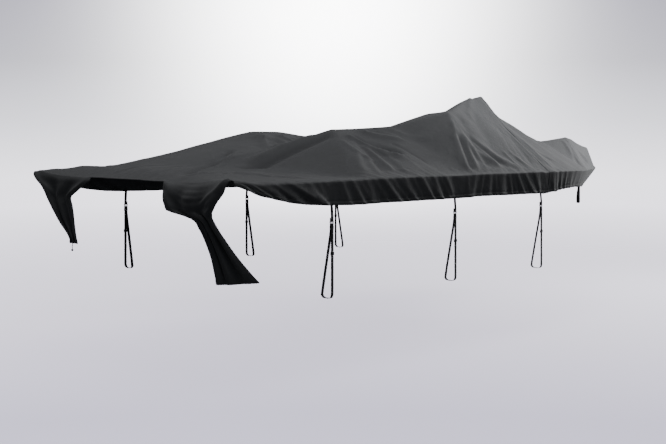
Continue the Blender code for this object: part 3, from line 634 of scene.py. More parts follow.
# %% Rows, columns and rings
SEAM_AT = 3.10
SEAM_RAKE = 0.21
SEAM_REACH = 0.55
SEAM_BEND = 1.3
NOSE_ROUND = 0.03
NOSE_REACH = 0.30
CUT_OUT_PORT = 0.42
CUT_OUT_STARBOARD = -0.48
CUT_OUT_CORNER = 0.01
COLUMNS = (60, 72, 60)  # starboard, across the cut-out, port
ROWS_AFT, ROWS_FORWARD = 264, 176
HEM_ROWS = (0.0, 0.004, 0.009, 0.014, 0.019, 0.023, 0.026, 0.030)
HEM_DEPTH = 0.026
HEM_BULGE = 0.0024
STITCH_DIP = 0.0012
DIP_WIDTH = 0.004
EDGE_ROLL = 0.012
ROLL_TURNS = (25, 50, 75, 90)
SKIRT_SHARES = (0.12, 0.24, 0.36, 0.48, 0.60, 0.72, 0.84)
FULL_DEPTH = {"folds": 0.10, "gathers": 0.08}  # of a skirt, for its folds to stand out in full
SHALLOWEST = 0.08
SMALL_AT_EDGE = 0.3  # the share of the small creases' rise that is left at the gunwale
# How deep dents are, how far across and their seed.
TOP_DENTS = ((0.0030, 0.19, 3), (0.0014, 0.075, 4))
SKIRT_DENTS = (0.002, 0.12, 5)
TAIL_DENTS = (0.003, 0.11, 6)


def hem_profile(distance):
    """How far the turned hem stands out, at a distance from its edge."""
    inside = np.clip(distance / HEM_DEPTH, 0, 1)
    bulge = HEM_BULGE * np.sqrt(np.clip(4 * inside * (1 - inside), 0, 1))
    dip = STITCH_DIP * np.exp(-(((distance - HEM_DEPTH) / DIP_WIDTH) ** 2))
    return np.where(distance < HEM_DEPTH, bulge, 0) - dip


def column_shares():
    """Places of the columns across the top, from -1 at starboard to 1 at port."""
    width = GUNWALE["half_width"][0]
    stops = (-1.0, CUT_OUT_STARBOARD / width, CUT_OUT_PORT / width, 1.0)
    shares = [np.linspace(a, b, n, endpoint=False) for a, b, n in zip(stops, stops[1:], COLUMNS)]
    return np.append(np.concatenate(shares), 1.0)


def top_plan():
    """Stations and places to port of the top's grid, and its columns' shares of the half width."""
    rows = np.concatenate(
        [
            HEM_ROWS,
            np.linspace(1.5 * HEM_ROWS[-1], SEAM_AT, ROWS_AFT - len(HEM_ROWS), endpoint=False),
            np.linspace(SEAM_AT, LENGTH - NOSE_ROUND, ROWS_FORWARD + 1),
        ]
    )
    s, t = np.meshgrid(rows, column_shares(), indexing="ij")
    near_seam = np.exp(-(((s - SEAM_AT) / SEAM_REACH) ** 2))
    s = s + SEAM_RAKE * near_seam * np.abs(t) ** SEAM_BEND
    s = s + NOSE_ROUND * (1 - t**2) * smooth_step((s - LENGTH + NOSE_REACH) / NOSE_REACH)
    return s, t * HALF_WIDTH(s), t


def top_surface(s, y):
    """Height above the gunwale plane with the main creases in it, and the rise of the small ones."""
    inboard = smooth_step((HALF_WIDTH(s) - np.abs(y)) / EDGE_BAND)
    main, small = crease_rise(s, y)
    dent = sum(depth * dents(s, y, cell, seed) for depth, cell, seed in TOP_DENTS)
    small = (SMALL_AT_EDGE + (1 - SMALL_AT_EDGE) * inboard) * small
    return EDGE(s) + corner_rise(s, y) + rise_at(s, y) + inboard * main, small + inboard * dent


def edge_folds(s, y):
    """The skirt's folds as they run on inboard of the gunwale."""
    inboard = np.maximum(HALF_WIDTH(s) - np.abs(y), 0)
    share = -inboard / np.maximum(SKIRT(s), SHALLOWEST)
    return np.exp(-((inboard / FOLD_FADE) ** FADE_POWER)) * by_side(y, fold_field, s, share)


print("grid:", ROWS_AFT + ROWS_FORWARD + 1, "rows of", sum(COLUMNS) + 1, "points")

# %% [markdown]
# A grid is easy to join up: quads go between each row and the next. The skirt's rings start from
# the edge points, which run from port round the bow to starboard.

# %% Build the sheet


class Sheet:
    """Points with their small folds and their places on the flat cloth, and quads for each panel.

    Lists of point numbers are kept for what is laid on the cloth later: its rings, the seam's row
    with the rows on both sides of it, the stitch lines and the tails' rows.
    """

    def __init__(self):
        self.points, self.out, self.flat = [], [], []
        self.panels = {"aft": [], "fore": []}
        self.backs = {"aft": [], "fore": []}
        self.rings, self.tails = [], []

    def add(self, points, out, flat):
        first = len(self.points)
        self.points += [tuple(point) for point in points]
        self.out += list(out)
        self.flat += [tuple(place) for place in flat]
        return list(range(first, first + len(points)))


def strip_faces(rows):
    """Quads between rows of point numbers, each row as long as the next."""
    return [(a[k], a[k + 1], b[k + 1], b[k]) for a, b in zip(rows, rows[1:]) for k in range(len(a) - 1)]


def skirt_rings(edge, flat_edge):
    """Rings of the skirt: points, small folds and places on the flat cloth."""
    along = np.gradient(edge[:, :2], axis=0)
    away = np.stack([-along[:, 1], along[:, 0]], axis=1)
    away /= np.linalg.norm(away, axis=1)[:, None]
    s, side = edge[:, 0], np.sign(edge[:, 1])
    depth = SKIRT(s)
    hem = np.minimum(HEM_ROWS[-1], 0.5 * depth)
    drops = [EDGE_ROLL * (1 - math.cos(math.radians(turn))) * np.ones_like(s) for turn in ROLL_TURNS]
    outs = [EDGE_ROLL * math.sin(math.radians(turn)) for turn in ROLL_TURNS]
    drops += [EDGE_ROLL + (depth - hem - EDGE_ROLL) * share for share in SKIRT_SHARES]
    drops += [depth - hem * distance / HEM_ROWS[-1] for distance in HEM_ROWS[::-1]]
    outs += [EDGE_ROLL] * (len(drops) - len(outs))
    for drop, out in zip(drops, outs):
        share = drop / depth
        fold = by_side(side, fold_field, s, share) * smooth_step(depth / FULL_DEPTH["folds"])
        fold = fold + by_side(side, gathers, s, share) * smooth_step(depth / FULL_DEPTH["gathers"])
        dent, cell, seed = SKIRT_DENTS
        fold = fold + dent * dents(s, 3 * side + drop, cell, seed) + hem_profile(depth - drop)
        ring = edge.copy()
        ring[:, :2] += away * (out + fold)[:, None]
        ring[:, 0] -= RAKE(s) * share
        ring[:, 1] -= side * np.minimum(TUCK(s), 0.5 * np.abs(edge[:, 1])) * share
        ring[:, 2] -= drop
        flat = flat_edge.copy()
        flat[:, 1] += side * drop
        yield ring, flat


def build_sheet():
    """The whole cloth."""
    sheet = Sheet()
    s, y, t = top_plan()
    height, small = top_surface(s, y)
    out = small + edge_folds(s, y)
    cut_out = np.where(y > 0, CUT_OUT_PORT, -CUT_OUT_STARBOARD) - CUT_OUT_CORNER
    out = out + np.where((np.abs(y) < cut_out) & (s < 2 * HEM_ROWS[-1]), hem_profile(s), 0)
    grid = np.stack([s, y, height], axis=-1)
    girth = np.cumsum(np.linalg.norm(np.diff(grid, axis=1, prepend=grid[:, :1]), axis=2), axis=1)
    girth -= girth[:, len(t[0]) // 2][:, None]
    flat = np.stack([s, girth], axis=-1)
    rows = [sheet.add(*row) for row in zip(grid, out, flat)]
    last = len(rows) - 1
    edge = [row[-1] for row in rows] + rows[-1][-2:0:-1] + [row[0] for row in rows[::-1]]
    row_of = list(range(last + 1)) + [last] * (len(rows[0]) - 2) + list(range(last, -1, -1))
    edge_points, flat_edge = (np.array([values[k] for k in edge]) for values in (sheet.points, sheet.flat))
    rings = [edge]
    for points, places in skirt_rings(edge_points, flat_edge):
        rings.append(sheet.add(points, np.zeros(len(points)), places))
    for panels, step in ((sheet.panels, 1), (sheet.backs, 2)):
        coarse_rings = rings[:0:-step][::-1]
        for k in range(0, last, step):
            near, far = rows[k][::step], rows[k + step][::step]
            panels["aft" if k < ROWS_AFT else "fore"] += strip_faces([far, near])
        for a, b in zip([edge, *coarse_rings], coarse_rings):
            for k in range(0, len(edge) - 1, step):
                aft = max(row_of[k], row_of[k + step]) <= ROWS_AFT
                panels["aft" if aft else "fore"].append((a[k], a[k + step], b[k + step], b[k]))
    around = {"behind": -1, "seam": 0, "ahead": 1}
    for name, step in around.items():
        k = ROWS_AFT + step
        port_hem, starboard_hem = [ring[k] for ring in rings[:0:-1]], [ring[-1 - k] for ring in rings[1:]]
        setattr(sheet, name, port_hem + rows[k][::-1] + starboard_hem)
    sheet.rings = rings
    sheet.stitch_ring = rings[-1 - HEM_ROWS.index(HEM_DEPTH)]
    sheet.stitch_row = rows[HEM_ROWS.index(HEM_DEPTH)][COLUMNS[0] : -COLUMNS[2]]
    dent, cell, seed = TAIL_DENTS
    starboard, port = rows[0][COLUMNS[0] :: -1], rows[0][-COLUMNS[2] - 1 :]
    for start, sizes, side in ((starboard, STARBOARD_TAIL, -1), (port, PORT_TAIL, 1)):
        edge_points = np.array([sheet.points[k] for k in start])
        points, folds, share, drops = tail_points(edge_points, sizes, side)
        tail = [start]
        for row, fold, drop in zip(points, folds, drops):
            across = np.linalg.norm(row[-1] - row[0])
            hem = hem_profile(np.minimum(share, 1 - share) * across) + hem_profile(drops[-1] - drop)
            places = np.stack([np.full(len(row), -drop), row[:, 1]], axis=1)
            tail.append(sheet.add(row, fold + hem + dent * dents(row[:, 2], row[:, 1], cell, seed), places))
        sheet.tails.append(tail)
        for panels, step in ((sheet.panels, 1), (sheet.backs, 2)):
            faces = strip_faces([row[::step] for row in tail[::step]])
            panels["aft"] += [face[::-1] for face in faces] if side < 0 else faces
    return sheet


SHEET = build_sheet()
print("sheet:", len(SHEET.points), "points,", [len(faces) for faces in SHEET.panels.values()], "quads")

# %% [markdown]
# The small folds are added last, along the normals of the whole sheet. Moving points along their
# normals keeps a fold square to the cloth on the steep sides of the console as well as on the flat,
# and normals of the whole sheet keep the two panels meeting at the seam.

# %% Move the points out by their small folds


def mesh_from(name, points, faces):
    mesh = bpy.data.meshes.new(name)
    mesh.from_pydata([tuple(point) for point in points], [], faces)
    return mesh


def normals_of(points, faces):
    mesh = mesh_from("whole", points, faces)
    mesh.update()
    found = np.zeros(len(points) * 3)
    mesh.vertices.foreach_get("normal", found)
    bpy.data.meshes.remove(mesh)
    return found.reshape(-1, 3)


ALL_FACES = SHEET.panels["aft"] + SHEET.panels["fore"]
base_points = place(SHEET.points)
small_out = np.array(SHEET.out)
skin = base_points + small_out[:, None] * normals_of(base_points, ALL_FACES)
skin_normals = normals_of(skin, ALL_FACES)
print("small folds:", [round(float(out) * 1000, 1) for out in (small_out.min(), small_out.max())], "mm")

# %% [markdown]
# ## Shader maths
#
# A finish is a tree of nodes, and written out one node at a time it is hard to read. So a Link
# stands for one socket of a tree and has Python's own operators, each of which adds a Math node.
# One method of Tree adds any other node, from its settings and the values of its sockets. Finishes
# are Trees, and so are the stitches' and the backdrop's.

# %% Links and finishes


class Link:
    """A value that varies from place to place: an output socket, with operators that add Math nodes."""

    def __init__(self, tree, socket):
        self.tree, self.socket = tree, socket

    def maths(self, operation, *values):
        return self.tree.node("ShaderNodeMath", {"operation": operation}, dict(enumerate(values)))

    def __add__(self, other):
        return self.maths("ADD", self, other)

    def __sub__(self, other):
        return self.maths("SUBTRACT", self, other)

    def __rsub__(self, other):
        return self.maths("SUBTRACT", other, self)

    def __mul__(self, other):
        return self.maths("MULTIPLY", self, other)

    def __truediv__(self, other):
        return self.maths("DIVIDE", self, other)

    __radd__, __rmul__ = __add__, __mul__

    def sine(self):
        return self.maths("SINE", self)

    def exponential(self):
        return self.maths("EXPONENT", self)

    def clamp(self, low=0.0, high=1.0):
        return self.maths("MAXIMUM", self.maths("MINIMUM", self, high), low)


class Tree:
    """A tree of nodes."""

    def __init__(self, tree):
        self.nodes, self.links = tree.nodes, tree.links

    def fill(self, node, values):
        """Joins each Link to its socket of a node, and sets the sockets that have plain values."""
        for key, value in values.items():
            if isinstance(value, Link):
                self.links.new(value.socket, node.inputs[key])
            else:
                node.inputs[key].default_value = value

    def node(self, kind, settings=None, values=None, output=0):
        """Adds a node, sets it up, then fills its sockets, and gives a Link to one output."""
        made = self.nodes.new(kind)
        for key, value in (settings or {}).items():
            setattr(made, key, value)
        self.fill(made, values or {})
        return Link(self, made.outputs[output])


class Finish(Tree):
    """A material with a Principled shader to feed, and the name of one of the frame's slots, which is kept
    but not used here.
    """

    def __init__(self, name, slot, roughness, **same_all_over):
        self.slot = slot
        self.material = bpy.data.materials.new(name)
        self.material.use_nodes = True
        super().__init__(self.material.node_tree)
        self.shader = self.nodes["Principled BSDF"]
        self.feed(Roughness=roughness, **same_all_over)

    def feed(self, **values):
        """Fills the shader's sockets, whose names have _ for each space."""
        self.fill(self.shader, {name.replace("_", " "): value for name, value in values.items()})

    def noise(self, size, detail=2.0, stretch=(1, 1, 1)):
        """Smooth random values from 0 to 1, blotches of about the given size, in metres."""
        place_on = self.node("ShaderNodeTexCoord", output="Object")
        place_on = self.node("ShaderNodeMapping", values={"Vector": place_on, "Scale": stretch})
        values = {"Vector": place_on, "Scale": 1 / size, "Detail": detail}
        return self.node("ShaderNodeTexNoise", values=values)

    def flat_place(self):
        """Places along and across the flat cloth or webbing, in metres."""
        flat = self.node("ShaderNodeUVMap", {"uv_map": "UVMap"})
        split = self.node("ShaderNodeSeparateXYZ", values={"Vector": flat}).socket.node
        return Link(self, split.outputs["X"]), Link(self, split.outputs["Y"])

    def colour(self, dark, light, share):
        """Base colour between two colours, which are inputs 6 and 7 of a Mix node."""
        values = {"Factor": share, 6: (*dark, 1.0), 7: (*light, 1.0)}
        self.feed(Base_Color=self.node("ShaderNodeMix", {"data_type": "RGBA"}, values, 2))

    def rough(self, least, most, share):
        """Roughness between two values."""
        self.feed(Roughness=share * (most - least) + least)

    def relief(self, *layers):
        """Bumps, each a (height, how deep in metres) pair, one on top of the other."""
        normal = None
        for height, depth in layers:
            values = {"Height": height, "Distance": depth, "Strength": 1.0}
            if normal:
                values["Normal"] = normal
            normal = self.node("ShaderNodeBump", values=values)
        self.feed(Normal=normal)


print("sockets can now be added and multiplied")

# %% [markdown]
# ## Woven polyester
#
# The cloth is a plain weave of coated polyester: each thread passes over one and under the next.
# Two sine waves make the rounded threads, and their product says which one is on top. The pattern
# reads the flat cloth's own places, so it turns and stretches with each panel. Wider noise gives
# the cloth its uneven tone. The folds' own rise paints a highlight where they stand out, and
# painted shade darkens the main troughs.

# %% Cloth
WEAVE_PITCH = 0.0014
WEAVE_DEPTH = 0.00012
CROSSING = 2.5  # how sharply one thread gives way to the other
CLOTH_DARK, CLOTH_LIGHT = (0.046, 0.048, 0.052), (0.086, 0.089, 0.094)
BROAD, SMALL, CRUMPLE = (0.45, 3.0), (0.03, 2.0), (0.035, 3.0)  # sizes of its noise, and how fine it gets
CRUMPLE_DEPTH = 0.0022
# How much each thing lightens the cloth. For the folds it is painted light: a highlight where
# they stand out and shade in the main troughs.
TONE = {"broad": 0.5, "small": 0.25, "ridge": 0.45, "weave": 0.10}


def plain_weave(finish, pitch_along, pitch_across):
    """Height of a plain weave, from 0 to 1."""
    along, across = finish.flat_place()
    warp = (along * (math.pi / pitch_along)).sine()
    weft = (across * (math.pi / pitch_across)).sine()
    over = (warp * weft * CROSSING).clamp(-1.0, 1.0) * 0.5 + 0.5
    return over * warp * warp + (1 - over) * weft * weft


polyester = Finish("woven polyester", "polyester", 0.85, Sheen_Weight=0.10, Sheen_Roughness=0.5)
weave = plain_weave(polyester, WEAVE_PITCH, WEAVE_PITCH)
# Painted light: this attribute lightens the folds that stand out as a painted highlight, and darkens the main
# troughs as painted shade.
ridge = polyester.node("ShaderNodeAttribute", {"attribute_name": "ridge"}, output="Fac")
tone = polyester.noise(*BROAD) * TONE["broad"] + polyester.noise(*SMALL) * TONE["small"]
tone = tone + ridge * TONE["ridge"] + weave * TONE["weave"]
polyester.colour(CLOTH_DARK, CLOTH_LIGHT, tone.clamp())
polyester.rough(0.74, 0.90, polyester.noise(0.12))
polyester.relief((polyester.noise(*CRUMPLE), CRUMPLE_DEPTH), (weave, WEAVE_DEPTH))
print("weave:", WEAVE_PITCH * 1000, "mm from thread to thread")

# %% [markdown]
# ## Webbing, plastic, cord and thread
#
# Webbing is the same weave, coarser and ribbed across. The buckles are moulded nylon with a fine
# grain and rub marks. The cord is a round braid: its strands cross as two sets of slanting lines.

# %% Trim finishes
RIB_PITCHES = (0.0017, 0.0026)  # along the webbing and across it
STRANDS_ALONG = 2600  # how far a strand's wave turns in a metre of cord, in radians
ROUND_CORD = 12  # places round the cord run from 0 to one over this

webbing = Finish("black webbing", "webbing", 0.8, Sheen_Weight=0.15)
rib = plain_weave(webbing, *RIB_PITCHES)
webbing.colour((0.008, 0.008, 0.009), (0.026, 0.026, 0.028), rib * 0.6 + webbing.noise(0.02) * 0.5)
webbing.relief((rib, 0.0004))

plastic = Finish("moulded black plastic", "plastic", 0.42)
scuffs = plastic.noise(0.004, 4.0, (1, 1, 0.3))
plastic.colour((0.008, 0.008, 0.009), (0.030, 0.030, 0.032), scuffs)
plastic.rough(0.28, 0.63, scuffs)
plastic.relief((plastic.noise(0.0006), 0.00006))

cord_braid = Finish("black braided cord", "cord", 0.75, Sheen_Weight=0.15)
along, around = cord_braid.flat_place()
along, around = along * STRANDS_ALONG, around * (ROUND_CORD * math.pi)
strands = (along + around).sine() * (along - around).sine()
cord_braid.colour((0.007, 0.007, 0.008), (0.030, 0.030, 0.032), strands * 0.5 + 0.5)
cord_braid.relief((strands, 0.0004))

thread = Finish("charcoal thread", "polyester", 0.65)
thread.colour((0.020, 0.020, 0.022), (0.055, 0.056, 0.060), thread.noise(0.02))
print("finishes:", [finish.material.name for finish in (webbing, plastic, cord_braid, thread)])

# %% [markdown]
# ## From one skin to two panels
#
# Cloth has two faces. Each panel is a closed shell: the skin in front, every second point again one
# thickness behind it, as few people look there, and a rim round the edges. Each face of the rim
# runs along one edge of the back and along the two edges of the skin in front of it. Where a coarse
# face of the back would come through a sharp trough of the skin, its corners are pressed further in.

# %% Backs
LEAST_THICKNESS = 0.0014
MOST_PRESSED = 0.012
PRESSES = 5


def pressed_in(points, normals, faces):
    """How much further in each point of the back goes, so that its coarse faces stay behind the skin."""
    corners, further = np.array(faces), np.zeros(len(points))
    for _ in range(PRESSES):
        back = points - (CLOTH + further)[:, None] * normals
        tree = BVHTree.FromPolygons(back.tolist(), faces)
        found = [tree.find_nearest(point) for point in points.tolist()]
        nearest = np.array([point for point, _, _, _ in found])
        lack = LEAST_THICKNESS - ((points - nearest) * normals).sum(axis=1)
        at_corners = np.zeros(len(points))
        np.maximum.at(at_corners, corners[[face for _, _, face, _ in found]], lack[:, None])
        further = np.minimum(further + at_corners, MOST_PRESSED)
    return further


pressed = pressed_in(skin, skin_normals, SHEET.backs["aft"] + SHEET.backs["fore"])
print("back pressed in by", round(pressed.max() * 1000, 1), "mm at most")

# %% Panels
# How far a fold must stand out for its full painted highlight, and how deep a trough must be for its full
# painted shade.
FULL_PAINTED_HIGHLIGHT = 0.022  # a fold this high is lightened in full
FULL_PAINTED_SHADE = 0.026  # a trough this deep is darkened in full
SEAM_GAP = 0.0003
flat_places = np.array(SHEET.flat)
plan_s, plan_y = skin[:, 0] + ORIGIN_FROM_TRANSOM, skin[:, 1]
on_top = smooth_step((HALF_WIDTH(plan_s) - np.abs(plan_y)) / EDGE_BAND)
# Depths of the main troughs, which the cloth's colour darkens as painted shade.
painted_trough_shade = on_top * np.minimum(crease_rise(plan_s, plan_y)[0], 0)


def put(name, data):
    """An object in the scene, at the origin."""
    made = bpy.data.objects.new(name, data)
    scene.collection.objects.link(made)
    return made


def add_piece(name, mesh, finish, *cad_nodes):
    """A finished piece at the origin, in place of the CAD nodes that it stands for."""
    made = put(name, mesh)
    if not mesh.materials:
        mesh.materials.append(finish.material)
    mesh.shade_smooth()
    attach(made, "root")
    if cad_nodes:
        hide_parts(*cad_nodes)
    return made


def lay_flat(mesh, places):
    """A UV map in metres on the flat cloth, from a place for each point."""
    corner_points = np.empty(len(mesh.loops), np.int32)
    mesh.loops.foreach_get("vertex_index", corner_points)
    layer = mesh.uv_layers.new(name="UVMap")
    layer.data.foreach_set("uv", np.asarray(places)[corner_points].ravel().astype(np.float32))


def area_of(points, faces):
    quads = points[np.array(faces)]
    crossed = np.cross(quads[:, 2] - quads[:, 0], quads[:, 3] - quads[:, 1])
    return 0.5 * float(np.linalg.norm(crossed, axis=1).sum())


def open_edges(faces):
    """The edges that only one of the faces has, each as its end by its start."""
    edges = {(a, b) for face in faces for a, b in zip(face, face[1:] + face[:1])}
    return {a: b for a, b in edges if (b, a) not in edges}


def closed_shell(name, faces, back_faces, shift):
    """A panel's skin, its coarser back one thickness behind and a rim round both."""
    used = sorted({k for face in faces for k in face})
    behind = sorted({k for face in back_faces for k in face})
    number = {k: i for i, k in enumerate(used)}
    number_behind = {k: i + len(used) for i, k in enumerate(behind)}
    fronts = [tuple(number[k] for k in face) for face in faces]
    backs = [tuple(number_behind[k] for k in face[::-1]) for face in back_faces]
    following, rim = open_edges(faces), []
    for a, b in open_edges(back_faces).items():
        run = [a]
        while run[-1] != b:
            run.append(following[run[-1]])
        rim.append((*(number[k] for k in run[::-1]), number_behind[a], number_behind[b]))
    parted = skin.copy()
    parted[SHEET.seam, 0] += shift
    inner = parted[behind] - (CLOTH + pressed[behind])[:, None] * skin_normals[behind]
    both = np.concatenate([parted[used], inner])
    mesh = mesh_from(name, both, fronts + backs + sorted(rim))
    source = used + behind
    lay_flat(mesh, flat_places[source])
    # Painted highlight where the small folds stand out and painted shade in the main troughs, one value a
    # point for the cloth's colour.
    painted_shading = np.clip(small_out[source] / FULL_PAINTED_HIGHLIGHT + painted_trough_shade[source] / FULL_PAINTED_SHADE, -1, 1)
    mesh.attributes.new("ridge", "FLOAT", "POINT").data.foreach_set("value", painted_shading)
    return mesh


PANELS = {}
for panel, shift in (("aft", -0.5 * SEAM_GAP), ("fore", 0.5 * SEAM_GAP)):
    mesh = closed_shell(f"cover_cloth_{panel}", SHEET.panels[panel], SHEET.backs[panel], shift)
    PANELS[panel] = add_piece(f"cover_cloth_{panel}", mesh, polyester, f"cover_{panel}")
    print(panel, "panel:", len(mesh.polygons), "faces")

# %% [markdown]
# ## The cross seam
#
# Two lengths of cloth are joined by a felled seam: one edge is folded over the other and sewn down
# twice. What shows is a narrow raised strip, so it is made as one, laid along the seam from hem to
# hem: five points across, read off the skin between the seam's row and its neighbours.

# %% Felled seam
SEAM_SECTION = {
    "ahead": (-0.0115, -0.0095, 0.0, 0.0095, 0.0115),
    "above": (0.0003, 0.0013, 0.0015, 0.0013, 0.0003),
}
SEAM_THICKNESS = 0.001
SEAM_ROWS = {"off": 0.0075, "lift": 0.0016}  # its two rows of stitches, off its middle and off the cloth


def across_seam(offset, lift):
    """The line that runs beside the seam at an offset forward of it, lifted off the cloth."""
    here = np.array(SHEET.seam)
    there = np.array(SHEET.ahead if offset > 0 else SHEET.behind)
    step = np.linalg.norm(skin[there] - skin[here], axis=1)[:, None]
    share = abs(offset) / np.maximum(step, SAME_POINT)
    normal = skin_normals[here] * (1 - share) + skin_normals[there] * share
    return skin[here] * (1 - share) + skin[there] * share + lift * normal


lines = [across_seam(ahead, above) for ahead, above in zip(*SEAM_SECTION.values())]
count = len(lines[0])
numbers = [list(range(k * count, (k + 1) * count)) for k in range(len(lines))]
seam_mesh = mesh_from("cross_seam", np.concatenate(lines), strip_faces(numbers))
girth = distances_along(lines[2])
lay_flat(seam_mesh, [(ahead, at) for ahead in SEAM_SECTION["ahead"] for at in girth])
seam_strip = add_piece("cross_seam", seam_mesh, polyester)
seam_strip.modifiers.new("thickness", "SOLIDIFY").thickness = SEAM_THICKNESS
print("seam:", round(float(girth[-1]), 2), "m from hem to hem")

# %% [markdown]
# ## Stitches
#
# A row of stitches is one small shape repeated along a path, which is what Geometry Nodes are for.
# The tree turns a line of points into a curve, cuts it into steps of the pitch, and puts a thread
# shape on each step, turned along the curve. Realize Instances makes them real faces at the end.

# %% A tree for a row of stitches
STITCH_PITCH = 0.0052
STITCH = {"Length": 0.0038, "Thickness": 0.0009}
SHORTEST, LONGEST = 0.85, 1.1  # stitches, as shares of that length


def stitch_tree(finish):
    group = bpy.data.node_groups.new("row of stitches", "GeometryNodeTree")
    sockets = group.interface
    sockets.new_socket("Path", in_out="INPUT", socket_type="NodeSocketGeometry")
    for name in ("Pitch", *STITCH):
        sockets.new_socket(name, in_out="INPUT", socket_type="NodeSocketFloat")
    sockets.new_socket("Stitches", in_out="OUTPUT", socket_type="NodeSocketGeometry")
    tree = Tree(group)
    given = tree.node("NodeGroupInput").socket.node.outputs
    path, pitch, length, thickness = (Link(tree, given[name]) for name in ("Path", "Pitch", *STITCH))
    curve = tree.node("GeometryNodeMeshToCurve", values={"Mesh": path})
    steps = tree.node("GeometryNodeResampleCurve", {"mode": "LENGTH"}, {"Curve": curve, "Length": pitch})
    shape = tree.node("GeometryNodeMeshIcoSphere", values={"Radius": 0.5, "Subdivisions": 1})
    tangent = tree.node("GeometryNodeInputTangent")
    turn = tree.node("FunctionNodeAlignRotationToVector", {"axis": "X"}, {"Vector": tangent})
    wear = {"Seed": 5, 2: SHORTEST, 3: LONGEST}  # inputs 2 and 3 are the least and the most of a float
    wear = tree.node("FunctionNodeRandomValue", {"data_type": "FLOAT"}, wear, 1)
    size = tree.node("ShaderNodeCombineXYZ", values={"X": length * wear, "Y": thickness, "Z": thickness})
    placed = {"Points": steps, "Instance": shape, "Rotation": turn, "Scale": size}
    rows = tree.node("GeometryNodeInstanceOnPoints", values=placed)
    real = tree.node("GeometryNodeRealizeInstances", values={"Geometry": rows})
    done = tree.node("GeometryNodeSetMaterial", values={"Geometry": real, "Material": finish.material})
    tree.fill(tree.nodes.new("NodeGroupOutput"), {"Stitches": done})
    return group


STITCH_TREE = stitch_tree(thread)


def sew(name, lines):
    """Stitches along lines of points, baked to a plain mesh."""
    ends = np.cumsum([0] + [len(line) for line in lines])
    edges = [(k, k + 1) for a, b in zip(ends, ends[1:]) for k in range(a, b - 1)]
    mesh = bpy.data.meshes.new(name)
    mesh.from_pydata([tuple(point) for line in lines for point in line], edges, [])
    path = put(name, mesh)
    modifier = path.modifiers.new("stitches", "NODES")
    modifier.node_group = STITCH_TREE
    sizes = {"Pitch": STITCH_PITCH, **STITCH}
    for item in STITCH_TREE.interface.items_tree:
        if item.in_out == "INPUT" and item.name in sizes:
            modifier[item.identifier] = sizes[item.name]
    bpy.context.view_layer.update()
    graph = bpy.context.evaluated_depsgraph_get()
    baked = bpy.data.meshes.new_from_object(path.evaluated_get(graph), depsgraph=graph)
    bpy.data.objects.remove(path)
    baked.name = name
    return add_piece(name, baked, thread)


print("stitch tree:", len(STITCH_TREE.nodes), "nodes")

# %% [markdown]
# The hem is sewn all round, just inside its turned edge: along the skirt, across the cut-out and
# down, along and up each tail. On the skirt and at the cut-out a row of the grid already lies on
# the stitch line. On a tail the line is found across each row, at the hem's depth from its end.

# %% Sew the hems and the seam
THREAD_LIFT = 0.0002


def lifted(numbers):
    return skin[numbers] + THREAD_LIFT * skin_normals[numbers]


def inset(row, depth):
    """The point of a row of points that lies at a depth from its first end."""
    points = lifted(row)
    run = distances_along(points)
    return np.array([np.interp(depth, run, points[:, axis]) for axis in range(3)])


def tail_lines(rows):
    """The stitch lines of a tail: down its inner edge, along its bottom and up its outer edge."""
    bottoms = np.array([inset(np.array(column)[::-1], HEM_DEPTH) for column in zip(*rows)])
    kept = [row for row in rows if skin[row[0]][2] > bottoms[0][2]]
    inner = [inset(np.array(row), HEM_DEPTH) for row in kept]
    outer = [inset(np.array(row)[::-1], HEM_DEPTH) for row in kept]
    width = np.linalg.norm(skin[rows[-1][0]] - skin[rows[-1][-1]])
    trim = max(1, round(HEM_DEPTH / width * len(bottoms)))
    return [np.array(inner), bottoms[trim:-trim], np.array(outer)]


hem_lines = [lifted(SHEET.stitch_ring), lifted(SHEET.stitch_row)]
for rows in SHEET.tails:
    hem_lines += tail_lines(rows)
hem_stitches = sew("hem_stitches", hem_lines)
seam_lines = [across_seam(side * SEAM_ROWS["off"], SEAM_ROWS["lift"]) for side in (-1, 1)]
seam_stitches = sew("seam_stitches", seam_lines)
for piece in (hem_stitches, seam_stitches):
    print(piece.name, len(piece.data.polygons), "faces")

# %% [markdown]
# ## Tie-down straps
#
# Three straps a side hold the skirt down. A short tab sewn inside the hem carries the upper half of
# a side-release buckle, and a long strap comes up through the lower half, so that it hangs in a
# loop to go round the trailer's frame. Webbing is stiff across and limp along. So each is a ribbon
# swept along a path whose corners are cut twice, with its thin edges rounded.

# %% Ribbons
WEBBING_WIDTH = 0.025
WEBBING = 0.002
SELVEDGE = 0.0007
SELVEDGE_SHARE = 0.4  # of the webbing's half thickness that is left at its very edge
SHARP = 60  # degrees


def cut_corners(path, rounds=2):
    """Chaikin's corner cutting: each corner gives way to two points, a quarter in from its ends."""
    path = np.array(path, float)
    for _ in range(rounds):
        near, far = 0.75 * path[:-1] + 0.25 * path[1:], 0.25 * path[:-1] + 0.75 * path[1:]
        path = np.concatenate([path[:1], np.stack([near, far], axis=1).reshape(-1, 3), path[-1:]])
    return path


def ribbon(name, path, across):
    """Webbing along a path, its width along the axis across."""
    path, across = cut_corners(path), np.array(across, float)
    along = np.gradient(path, axis=0)
    along /= np.linalg.norm(along, axis=1)[:, None]
    through = np.cross(across, along)
    half, thick = 0.5 * WEBBING_WIDTH, 0.5 * WEBBING
    edge = SELVEDGE_SHARE * thick
    corner = ((half, -edge), (half, edge), (half - SELVEDGE, thick), (0.0, thick))
    corner += tuple((-u, v) for u, v in corner[2::-1])
    corner += ((-(half - SELVEDGE), -thick), (0.0, -thick), (half - SELVEDGE, -thick))
    run = distances_along(path)
    count = len(corner)
    points = [p + u * across + v * t for p, t in zip(path, through) for u, v in corner]
    faces = [tuple(range(count)), tuple(range(len(points) - 1, len(points) - count - 1, -1))]
    for k in range(len(path) - 1):
        a, b = k * count, (k + 1) * count
        faces += [(a + (i + 1) % count, a + i, b + i, b + (i + 1) % count) for i in range(count)]
    mesh = mesh_from(name, points, faces)
    lay_flat(mesh, [(at, u) for at in run for u, _ in corner])
    mesh.set_sharp_from_angle(angle=math.radians(SHARP))
    return mesh


